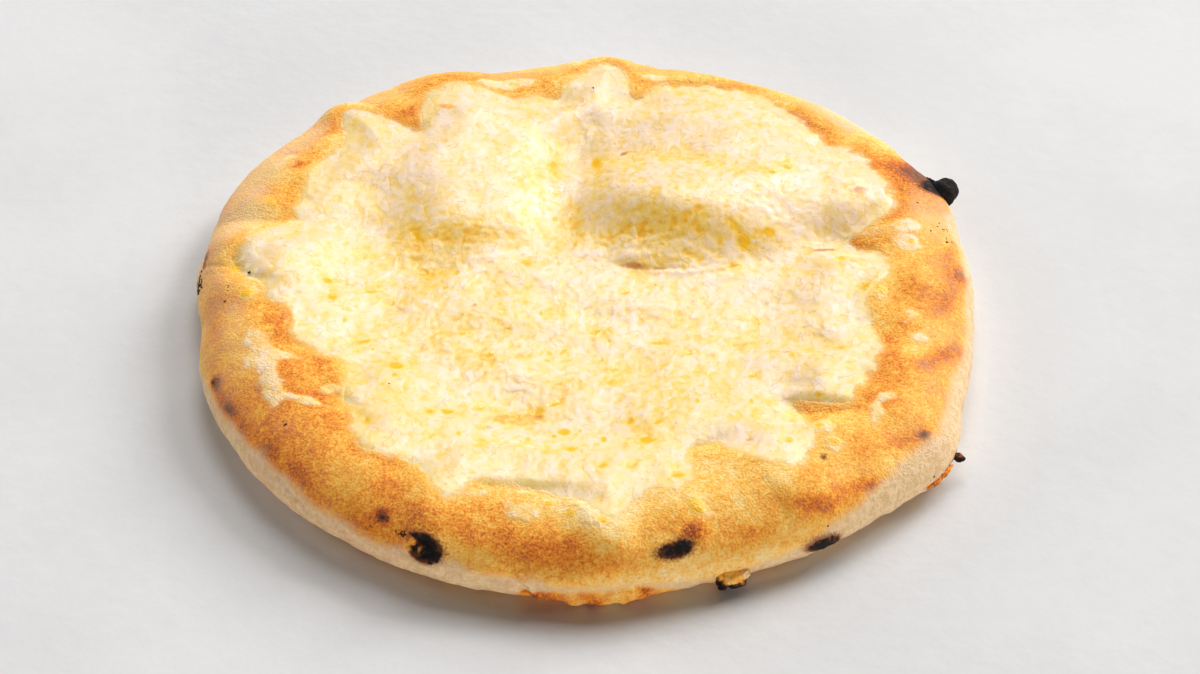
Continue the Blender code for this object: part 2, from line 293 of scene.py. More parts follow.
@dataclass(frozen=True)
class LepinjaForm:
    """The bread's outline, dished top and rim, and the cheese's outline on it."""

    radius: float = 0.1206
    radius_swells: Swells = (
        (8, 16, 0.0008), (40, 16, 0.0046), (84, 12, 0.0022), (126, 13, 0.0056), (152, 15, 0.006),
        (187, 6, -0.0024), (228, 16, 0.0012), (252, 12, 0.0014), (270, 6, 0.0008), (284, 6, -0.0006),
        (312, 14, 0.0026), (326, 8, 0.0058), (354, 10, -0.0015),
    )
    dish_height: float = 0.0150
    dish_edge: float = 0.52
    rim_height: float = 0.0212
    rim_crest: float = 0.82
    rim_swells: Swells = (
        (30, 22, 0.0012), (62, 12, -0.001), (118, 16, 0.0014), (165, 12, -0.0012), (205, 20, 0.0012),
        (262, 12, -0.001), (300, 18, 0.0014), (345, 14, -0.0008),
    )
    shoulder_reach: float = 0.0220
    bare_least: float = 0.0020
    belly_height: float = 0.0085
    foot_reach: float = 0.0065
    foot_swells: Swells = ((225, 30, 0.0050), (275, 10, -0.0030))
    cheese_radius: float = 0.0975
    cheese_lobes: Swells = (
        (4, 5, -0.001), (11, 4, -0.012), (22, 6, 0.006), (34, 9, 0.007), (38, 3, -0.004), (60, 18, 0.012),
        (80, 2.8, -0.011), (87, 6, 0.013), (97, 3, -0.005), (104, 3, -0.005), (117, 9, 0.0105),
        (127, 2.8, -0.012), (134, 5, 0.017), (148, 9, 0.006), (163, 4, -0.002), (175, 8, 0.011),
        (193, 7, -0.002), (211, 9, -0.015), (231, 5, 0.004), (248, 4, 0.0085), (259, 5, -0.003),
        (274, 4, 0.011), (284, 4, 0.002), (293.5, 3.6, -0.015), (305, 6, 0.008), (317.5, 2.8, -0.014),
        (332, 6, -0.002), (351, 9, -0.01),
    )
    # Bubbles and dents: place, turn in degrees, half-length, reach forward, reach back, rise.
    bubbles: tuple[tuple[float, ...], ...] = (
        (0.036, 0.036, 0, 0.044, 0.026, 0.05, 0.0088), (0.028, 0.029, 2, 0.038, 0.017, 0.015, 0.0024),
        (0.024, 0.056, -14, 0.031, 0.013, 0.013, -0.0028), (-0.036, 0.04, -4, 0.031, 0.03, 0.044, 0.007),
        (-0.052, 0.06, 20, 0.03, 0.026, 0.026, 0.0012), (-0.008, 0.052, 90, 0.036, 0.007, 0.007, -0.0026),
        (0.019, 0.009, 0, 0.012, 0.004, 0.004, -0.0022), (0.052, 0.006, 12, 0.03, 0.005, 0.006, -0.0014),
        (-0.042, 0.011, 0, 0.016, 0.005, 0.007, -0.002), (-0.092, 0.011, 0, 0.018, 0.016, 0.016, 0.0034),
        (0.085, 0.042, 30, 0.018, 0.014, 0.014, 0.0028), (0.074, -0.006, 0, 0.02, 0.018, 0.018, 0.0022),
        (0.03, -0.062, 40, 0.018, 0.014, 0.014, 0.0028), (0.066, -0.048, -30, 0.018, 0.013, 0.013, 0.002),
        (-0.019, -0.061, 8, 0.013, 0.009, 0.009, -0.003), (-0.014, -0.084, 0, 0.026, 0.01, 0.01, 0.0016),
        (-0.062, -0.046, -35, 0.02, 0.014, 0.014, 0.0018), (-0.03, -0.012, 0, 0.024, 0.018, 0.018, 0.0014),
        (0.004, -0.034, 0, 0.022, 0.014, 0.014, -0.0012),
    )
    crust_waves: Waves = Waves(5, 0.018, 0.060, 0.0007)

    def outline(self, direction: Array) -> Array:
        """The bread's radius at directions."""
        return swelled(self.radius, self.radius_swells, direction)

    def cheese_outline(self, direction: Array) -> Array:
        """The cheese's radius at directions."""
        return swelled(self.cheese_radius, self.cheese_lobes, direction)

    def top(self, x: Array, y: Array) -> Array:
        """The height of the bread's top, out to the rim's crest.

        Args:
            x: places along X.
            y: places along Y.

        Returns:
            The dish, an S-curve up to the rim, each bubble's rise * (1 - d^4)^1.5, d being 1 on its
            oval outline, and the low waves.
        """
        direction = direction_of(x, y)
        share = np.hypot(x, y) / self.outline(direction)
        climb = swelled(self.rim_height, self.rim_swells, direction) - self.dish_height
        height = self.dish_height + climb * smooth_step(share, self.dish_edge, self.rim_crest)
        for middle_x, middle_y, turn, half_length, forward, back, rise in self.bubbles:
            angle = math.radians(turn)
            along = (x - middle_x) * math.cos(angle) + (y - middle_y) * math.sin(angle)
            across = (y - middle_y) * math.cos(angle) - (x - middle_x) * math.sin(angle)
            squared = (along / half_length) ** 2 + (across / np.where(across < 0, forward, back)) ** 2
            height = height + rise * np.clip(1 - squared**2, 0, 1) ** 1.5
        return height + self.crust_waves.at(x, y)

    def middle_height(self) -> float:
        """The height of the top at its middle."""
        return float(self.top(np.zeros(1), np.zeros(1))[0])

    def crest(self, direction: Array) -> Array:
        """The radius where the shoulder starts: inside the belly, and always a little outside the cheese."""
        inside = self.outline(direction) - self.shoulder_reach
        return np.maximum(inside, self.cheese_outline(direction) + self.bare_least)

    def rim(self, direction: Array, drop: Array) -> Array:
        """Points on the rim's outer side, or on the top.

        Args:
            direction: degrees round from +X.
            drop: 0 at the crest, 90 at the belly and 180 at the foot, and millimetres in from the
                crest as values below 0.

        Returns:
            Points on a quarter of an ellipse from the crest to the belly, on another from the belly in
            to the foot, or on the top, with x, y and z last.
        """
        drop = np.asarray(drop)
        belly, start = self.outline(direction), self.crest(direction)
        angle, turned = np.radians(direction), np.radians(drop)
        crown = self.top(start * np.cos(angle), start * np.sin(angle)) - self.belly_height
        foot = swelled(self.foot_reach, self.foot_swells, direction)
        upper, inside = drop <= BELLY, drop < 0
        lower_radius = belly - foot * (1 - np.sin(turned))
        radius = np.where(upper, start + (belly - start) * np.sin(turned), lower_radius)
        height = self.belly_height + np.where(upper, crown, self.belly_height) * np.cos(turned)
        radius = np.where(inside, start + drop * MILLIMETRE, radius)
        x, y = radius * np.cos(angle), radius * np.sin(angle)
        return np.stack([x, y, np.where(inside, self.top(x, y), height)], axis=-1)

    def rim_axes(self, direction: float, drop: float, turn: float = 0.0) -> tuple[Array, Array]:
        """A place on the rim and the axes of what lies there.

        Args:
            direction: degrees round from +X.
            drop: 0 at the crest, 90 at the belly and 180 at the foot.
            turn: degrees about the outward axis.

        Returns:
            The point, and rows of three axes: along the rim, outwards, and down the rim.
        """
        spread = 0.05
        side = 1 if drop > BELLY else -1
        point = self.rim(np.float64(direction), np.float64(drop))
        ahead = self.rim(np.float64(direction + spread), np.float64(drop))
        beside = self.rim(np.float64(direction), np.float64(drop + side * spread))
        along = unit(ahead - point)
        down = unit((beside - point) * side)
        outwards = unit(np.cross(down, along))
        down = np.cross(along, outwards)
        angle = math.radians(turn)
        turned_along = along * math.cos(angle) + down * math.sin(angle)
        return point, np.stack([turned_along, outwards, np.cross(turned_along, outwards)])

    def on_top(self, points: Array, ovals: Ovals, firmness: float = 2.0) -> Array:
        """How much each point lies in ovals that are given in plan.

        Args:
            points: rows of x, y and z.
            ovals: middle x and y, half-length and half-width in millimetres, turn in degrees, strength.
            firmness: 2 for a soft bell, and more for a flat middle with a firmer edge.

        Returns:
            The sum of strength * exp(-d^firmness), d being 1 on an oval's outline.
        """
        total = np.zeros(len(points))
        for x, y, half_length, half_width, turn, strength in ovals:
            angle = math.radians(turn)
            off_x, off_y = points[:, 0] / MILLIMETRE - x, points[:, 1] / MILLIMETRE - y
            along = (off_x * math.cos(angle) + off_y * math.sin(angle)) / half_length
            across = (off_y * math.cos(angle) - off_x * math.sin(angle)) / half_width
            total += strength * np.exp(-(np.hypot(along, across) ** firmness))
        return total

    def on_rim(self, points: Array, ovals: Ovals, firmness: float = 2.0) -> Array:
        """How much each point lies in ovals on the rim.

        Args:
            points: rows of x, y and z.
            ovals: direction and drop of the middle, half-length along the rim and half-height down it
                in millimetres, turn in degrees, strength.
            firmness: 2 for a soft bell, and more for a flat middle with a firmer edge.

        Returns:
            The sum of strength * exp(-d^firmness), d being 1 on an oval's outline. It fades beyond a
            depth of 4 mm more than the oval's size, so nothing shows on the rim's far side.
        """
        total = np.zeros(len(points))
        for direction, drop, half_length, half_height, turn, strength in ovals:
            place, axes = self.rim_axes(direction, drop, turn)
            off = (points - place) @ axes.T / MILLIMETRE
            far = np.hypot(off[:, 0] / half_length, off[:, 2] / half_height)
            reach = 4 + max(half_length, half_height)
            near = np.exp(-((off[:, 1] / reach) ** 4))
            total += strength * near * np.exp(-(far**firmness))
        return total


# ---- Finishes ----------------------------------------------------------------------------------


class Wire:
    """A node's output that takes part in arithmetic: each operator adds one Math node."""

    def __init__(self, bench: "Bench", socket: bpy.types.NodeSocket) -> None:
        """Keeps the bench that the output is on."""
        self.bench = bench
        self.socket = socket

    def maths(self, operation: str, first: "Wire | float", second: "Wire | float") -> "Wire":
        """The result of one Math node."""
        return self.bench.wire("ShaderNodeMath", {"operation": operation}, {0: first, 1: second})

    def __add__(self, other: "Wire | float") -> "Wire":
        """This plus the other."""
        return self.maths("ADD", self, other)

    __radd__ = __add__

    def __sub__(self, other: "Wire | float") -> "Wire":
        """This less the other."""
        return self.maths("SUBTRACT", self, other)

    def __rsub__(self, other: "Wire | float") -> "Wire":
        """The other less this."""
        return self.maths("SUBTRACT", other, self)

    def __mul__(self, other: "Wire | float") -> "Wire":
        """This times the other."""
        return self.maths("MULTIPLY", self, other)

    __rmul__ = __mul__

    def step(self, start: float, end: float) -> "Wire":
        """0 up to start, 1 from end, and an S-curve between."""
        sockets = {"Value": self, "From Min": start, "From Max": end}
        return self.bench.wire("ShaderNodeMapRange", {"interpolation_type": "SMOOTHSTEP"}, sockets)


class Bench:
    """A material whose nodes are being laid out."""

    def __init__(self, name: str) -> None:
        """Starts a material with one Principled shader.

        Args:
            name: the material's name.
        """
        self.material = bpy.data.materials.new(name)
        self.material.use_nodes = True
        self.tree = self.material.node_tree
        self.shader = self.tree.nodes["Principled BSDF"]

    def add(self, kind: str, settings: Mapping[str, Any], sockets: Mapping[str | int, Any]) -> bpy.types.Node:
        """Adds a node.

        Args:
            kind: the node's type.
            settings: its settings by name, set first. The stops of a ramp are pairs of position and colour.
            sockets: what its inputs hold, by name or number: a Wire is linked, and all else is set.

        Returns:
            The node.
        """
        node = self.tree.nodes.new(kind)
        for key, value in settings.items():
            if key == "stops":
                self._set_stops(node.color_ramp, value)
            else:
                setattr(node, key, value)
        for key, value in sockets.items():
            self.put(node.inputs[key], value)
        return node

    def _set_stops(self, ramp: bpy.types.ColorRamp, stops: Stops) -> None:
        """Gives a ramp its stops.

        Args:
            ramp: a new ramp, which has two.
            stops: pairs of position and colour, in order.
        """
        while len(ramp.elements) < len(stops):
            ramp.elements.new(1)
        for element, (position, colour) in zip(ramp.elements, stops):
            element.position = position
            element.color = (*colour, 1)

    def put(self, socket: bpy.types.NodeSocket, value: Any) -> None:
        """Fills an input.

        Args:
            socket: the input.
            value: a Wire, which is linked, or what the input is set to.
        """
        if isinstance(value, Wire):
            self.tree.links.new(value.socket, socket)
        elif socket.type == "RGBA":
            socket.default_value = (*value, 1)
        else:
            socket.default_value = value

    def wire(
        self, kind: str, settings: Mapping[str, Any], sockets: Mapping[str | int, Any], output: int = 0
    ) -> Wire:
        """Adds a node and returns one of its outputs."""
        return Wire(self, self.add(kind, settings, sockets).outputs[output])

    def place(self) -> Wire:
        """The place on the object, in metres."""
        return self.wire("ShaderNodeTexCoord", {}, {}, 3)

    def value(self, name: str) -> Wire:
        """A value that the mesh holds for each point."""
        return self.wire("ShaderNodeAttribute", {"attribute_name": name}, {}, 2)

    def noise(self, place: Wire, size: float, detail: float = 3) -> Wire:
        """Soft noise about 0.5 whose lumps are about as wide as size, in metres."""
        return self.wire("ShaderNodeTexNoise", {}, {"Vector": place, "Scale": 1 / size, "Detail": detail})

    def curds(self, place: Wire, size: float) -> Wire:
        """Soft cells about as wide as size, each with a random level of its own, about 0."""
        sockets = {"Vector": place, "Scale": 1 / size, "Smoothness": 0.35}
        return self.wire("ShaderNodeTexVoronoi", {"feature": "SMOOTH_F1"}, sockets, 1) - 0.5

    def borders(self, place: Wire, size: float) -> Wire:
        """How far a place is from the borders between cells about as wide as size, as a share of size."""
        sockets = {"Vector": place, "Scale": 1 / size}
        return self.wire("ShaderNodeTexVoronoi", {"feature": "DISTANCE_TO_EDGE"}, sockets)

    def stretched(self, place: Wire, turn: float, stretch: float) -> Wire:
        """The place turned by degrees about Z and drawn out along its new X."""
        sockets = {"Vector": place, "Rotation": (0, 0, math.radians(turn)), "Scale": (stretch, 1, 1)}
        return self.wire("ShaderNodeMapping", {"vector_type": "TEXTURE"}, sockets)

    def warped(self, place: Wire, size: float, by: float) -> Wire:
        """A place pushed about by noise.

        Args:
            place: the place.
            size: how wide the noise's lumps are, in metres.
            by: how far it pushes at most, about, in metres.

        Returns:
            place + by * (noise's colour - 0.5), for each axis.
        """
        push = self.wire("ShaderNodeTexNoise", {}, {"Vector": place, "Scale": 1 / size, "Detail": 1}, 1)
        centred = self.wire("ShaderNodeVectorMath", {"operation": "SUBTRACT"}, {0: push, 1: (0.5, 0.5, 0.5)})
        settings = {"operation": "MULTIPLY_ADD"}
        return self.wire("ShaderNodeVectorMath", settings, {0: centred, 1: (by, by, by), 2: place})

    def blend(self, share: Wire | float, first: Wire | Colour, second: Wire | Colour) -> Wire:
        """The first colour, turning into the second as share goes from 0 to 1."""
        return self.wire("ShaderNodeMix", {"data_type": "RGBA"}, {0: share, 6: first, 7: second}, 2)

    def ramp(self, level: Wire, stops: Stops) -> Wire:
        """The colour that a ramp has at a level."""
        return self.wire("ShaderNodeValToRGB", {"stops": stops}, {0: level})

    def finish(
        self, colour: Wire, roughness: Wire | float, relief: Wire, depth: float, **fixed: Any
    ) -> bpy.types.Material:
        """Connects the shader.

        Args:
            colour: the base colour.
            roughness: the surface's roughness.
            relief: fine relief, from 0 to 1.
            depth: how deep that relief is, in metres.
            fixed: other inputs of the shader that are the same all over, by name with _ for a space.

        Returns:
            The finished material.
        """
        bump = self.wire("ShaderNodeBump", {}, {"Strength": 1.0, "Distance": depth, "Height": relief})
        self.put(self.shader.inputs["Base Color"], colour)
        self.put(self.shader.inputs["Roughness"], roughness)
        self.put(self.shader.inputs["Normal"], bump)
        for key, value in fixed.items():
            self.put(self.shader.inputs[key.replace("_", " ")], value)
        return self.material


class SkinBench(Bench):
    """A bench with the place on the skin and shared noises of three sizes, each about 0."""

    blotch_size: float = 0.0060
    mottle_size: float = 0.0018
    grain_size: float = 0.0007

    def __init__(self, name: str) -> None:
        """Lays out the place and the noises.

        Args:
            name: the material's name.
        """
        super().__init__(name)
        self.here = self.place()
        self.blotch = self.noise(self.here, self.blotch_size, 4) - 0.5
        self.mottle = self.noise(self.here, self.mottle_size, 3) - 0.5
        self.grain = self.noise(self.here, self.grain_size, 2) - 0.5

    def uneven(self, blotch: float, mottle: float, grain: float) -> Wire:
        """The sum of the three noises, each times its share."""
        return self.blotch * blotch + self.mottle * mottle + self.grain * grain


@dataclass(frozen=True)
class Layers:
    """What the skin's layers come to: its colour, and how much cheese, fat, char and curd shows."""

    colour: Wire
    cheese: Wire
    fat: Wire
    burnt: Wire
    curds: Wire


@dataclass(frozen=True)
class SkinColours:
    """Colours of the baked crust and of the cheese on it, shared where one turns into the other."""

    toast: Stops = (
        (0.00, display(253, 228, 180)),
        (0.20, display(254, 212, 128)),
        (0.36, display(254, 191, 80)),
        (0.52, display(245, 156, 48)),
        (0.66, display(224, 120, 34)),
        (0.80, display(176, 84, 30)),
        (0.92, display(110, 52, 28)),
        (1.00, display(60, 36, 26)),
    )
    dust: Colour = display(240, 198, 148)
    flour: Colour = display(242, 219, 184)
    flour_shade: Colour = display(222, 188, 146)
    char: Colour = display(24, 21, 20)
    char_brown: Colour = display(98, 52, 26)
    scorch: Colour = display(142, 72, 32)
    curd: Stops = (
        (0.00, display(255, 225, 200)),
        (0.25, display(254, 220, 174)),
        (0.50, display(254, 215, 138)),
        (0.75, display(254, 206, 86)),
        (1.00, display(251, 180, 38)),
    )
    vein: Colour = display(222, 168, 90)
    browned: Colour = display(204, 134, 52)
    film: Colour = display(253, 200, 120)
    fat: Colour = display(255, 190, 30)
    fat_pale: Colour = display(255, 209, 84)
    curd_size: float = 0.0023
    crumb_size: float = 0.0012
    cloud_size: float = 0.0042
    vein_spacing: float = 0.0034

    def crust(self, bench: SkinBench) -> tuple[Wire, Wire]:
        """The crust's colour, and how burnt it is.

        Args:
            bench: the material in the making.

        Returns:
            The colour that the mesh's toast gives, under flour where the mesh's flour is high, then
            scorched and black where its char is, all with grainy edges; and how black it is, 0 to 1.
        """
        flour, char = bench.value("flour"), bench.value("char")
        colour = bench.ramp(bench.value("toast") + bench.uneven(0.42, 0.46, 0.70), self.toast)
        dusted = (flour + bench.uneven(0.6, 0.4, 0.4)).step(0.12, 0.88) * (0.80 - bench.grain * 0.9)
        powder = bench.blend(bench.uneven(0.0, 1.0, 0.8).step(-0.16, 0.14), self.flour_shade, self.flour)
        powder = bench.blend(flour.step(0.45, 0.85), self.dust, powder)
        colour = bench.blend(dusted, colour, powder)
        scorched = (char + bench.uneven(0.2, 0.0, 0.5)).step(0.06, 0.42) * 0.75
        burnt = (char + bench.uneven(0.0, 0.4, 0.3)).step(0.36, 0.56)
        black = bench.blend((bench.mottle + (char - 0.8) * 0.5).step(-0.16, 0.02), self.char_brown, self.char)
        return bench.blend(burnt, bench.blend(scorched, colour, self.scorch), black), burnt

    def melted(self, bench: SkinBench) -> tuple[Wire, Wire]:
        """The cheese's colour and its curds.

        Args:
            bench: the material in the making.

        Returns:
            The colour, from the mesh's yellow value, which also carries painted warm shade, and its toasted
            value, and from soft cells of two sizes that noise pushes about, whitish or clear and yellow, with
            thin tan lines between some; and the larger cells.
        """
        pushed = bench.warped(bench.here, 0.0090, 0.0060)
        curds = bench.curds(bench.stretched(pushed, 82, 1.8), self.curd_size)
        crumbs = bench.curds(bench.stretched(pushed, -72, 1.7), self.crumb_size)
        clouds = bench.noise(bench.stretched(bench.here, 90, 1.9), self.cloud_size, 4) - 0.5
        level = bench.value("yellow") - curds * 0.42 - crumbs * 0.26 + clouds * 0.46 + bench.grain * 0.12
        colour = bench.ramp(level, self.curd)
        between = (0.07 - bench.borders(pushed, self.vein_spacing)).step(0.0, 0.07)
        vein = between * bench.uneven(1.0, 1.0, 0.0).step(0.0, 0.12)
        colour = bench.blend(vein * 0.50, colour, self.vein)
        browned = (bench.value("toasted") + bench.uneven(0.0, 0.6, 0.3)).step(0.24, 0.80)
        return bench.blend(browned * 0.85, colour, self.browned), curds

    def layers(self, bench: SkinBench) -> Layers:
        """All layers in their order.

        Args:
            bench: the material in the making.

        Returns:
            The crust under a thin film, then under cheese, as the mesh's cover rises past 0 with an edge
            that noise makes ragged, and drops of butterfat on both.
        """
        crust, burnt = self.crust(bench)
        cheese, curds = self.melted(bench)
        cover = bench.value("cover") + bench.uneven(1.1, 0.9, 0.5)
        full = cover.step(0.06, 0.32)
        colour = bench.blend(cover.step(-0.26, 0.12) * 0.58, crust, self.film)
        colour = bench.blend(full, colour, cheese)
        drop = bench.value("butterfat") + bench.mottle * 0.34
        fat = drop.step(0.12, 0.56)
        colour = bench.blend(fat * 0.92, colour, bench.blend(drop.step(0.36, 0.82), self.fat_pale, self.fat))
        black = bench.blend(burnt, colour, crust)
        return Layers(black, full, fat, burnt, curds)


@dataclass(frozen=True)
class BakedCrust:
    """The lepinja's skin: golden and browned on top, floury at its side, burnt in places."""

    name: str = "baked crust"
    colours: SkinColours = SkinColours()
    shine: float = 0.28
    relief_depth: float = 0.0006

    def material(self) -> bpy.types.Material:
        """Builds the material.

        Returns:
            A dry and grainy skin, smoother where cheese lies on it and shiny at drops.
        """
        bench = SkinBench(self.name)
        skin = self.colours.layers(bench)
        rough = 0.76 + bench.grain * 0.25 - skin.cheese * 0.26 - skin.fat * 0.35 + skin.burnt * 0.1
        relief = 0.5 + bench.grain * 0.5 + bench.mottle * 0.5 + skin.burnt * bench.mottle * 0.9
        return bench.finish(skin.colour, rough, relief, self.relief_depth, Specular_IOR_Level=self.shine)


@dataclass(frozen=True)
class MeltedCheeseFinish:
    """Melted cheese: cream to butter yellow, glossy, a little see-through, its edge thin over the crust."""

    name: str = "melted cheese"
    colours: SkinColours = SkinColours()
    glow: float = 0.42
    glow_depth: float = 0.0015
    glow_colour: Colour = (1.0, 0.88, 0.66)
    relief_depth: float = 0.0002

    def material(self) -> bpy.types.Material:
        """Builds the material.

        Returns:
            A skin smoother than the crust, with its curds as relief, into which light sinks a little.
        """
        bench = SkinBench(self.name)
        skin = self.colours.layers(bench)
        rough = 0.70 - skin.cheese * 0.34 - skin.fat * 0.15 + bench.mottle * 0.4
        relief = 0.5 + skin.curds * 0.5 + bench.mottle * 0.5
        return bench.finish(
            skin.colour, rough, relief, self.relief_depth,
            Subsurface_Weight=self.glow, Subsurface_Radius=self.glow_colour, Subsurface_Scale=self.glow_depth,
        )


@dataclass(frozen=True)
class FloorFinish:
    """A pale grey floor with faint cloudy patches."""

    name: str = "pale floor"
    light: Colour = display(219, 218, 218)
    dark: Colour = display(213, 212, 212)
    cloud_size: float = 0.09
    speckle_size: float = 0.006
    roughness: float = 0.75
    relief_depth: float = 0.0002

    def material(self) -> bpy.types.Material:
        """Builds the material.

        Returns:
            Two greys, one turning into the other with cloudy noise, and a faint speckle.
        """
        bench = Bench(self.name)
        place = bench.place()
        cloud = bench.noise(place, self.cloud_size, 5)
        speckle = bench.noise(place, self.speckle_size, 3)
        colour = bench.blend((cloud + (speckle - 0.5) * 0.2).step(0.35, 0.65), self.dark, self.light)
        return bench.finish(colour, self.roughness, speckle, self.relief_depth)


# ---- The cheese as a layer ---------------------------------------------------------------------


@dataclass(frozen=True)
class Shreds:
    """Grated shreds of cheese: where each lies, in metres and radians, and how yellow it is."""

    x: Array
    y: Array
    heading: Array
    length: Array
    width: Array
    bend: Array
    tone: Array

    def path(self, stations: int) -> tuple[Array, Array]:
        """Plan places along each shred.

        Args:
            stations: how many places each shred gets.

        Returns:
            x and y by shred and station: an arc whose heading turns by bend from end to end.
        """
        share = np.linspace(-0.5, 0.5, stations)
        turned = self.heading[:, None] + self.bend[:, None] * share
        step = self.length[:, None] / (stations - 1)
        x = np.cumsum(np.cos(turned) * step, axis=1)
        y = np.cumsum(np.sin(turned) * step, axis=1)
        middle = stations // 2
        return x - x[:, [middle]] + self.x[:, None], y - y[:, [middle]] + self.y[:, None]


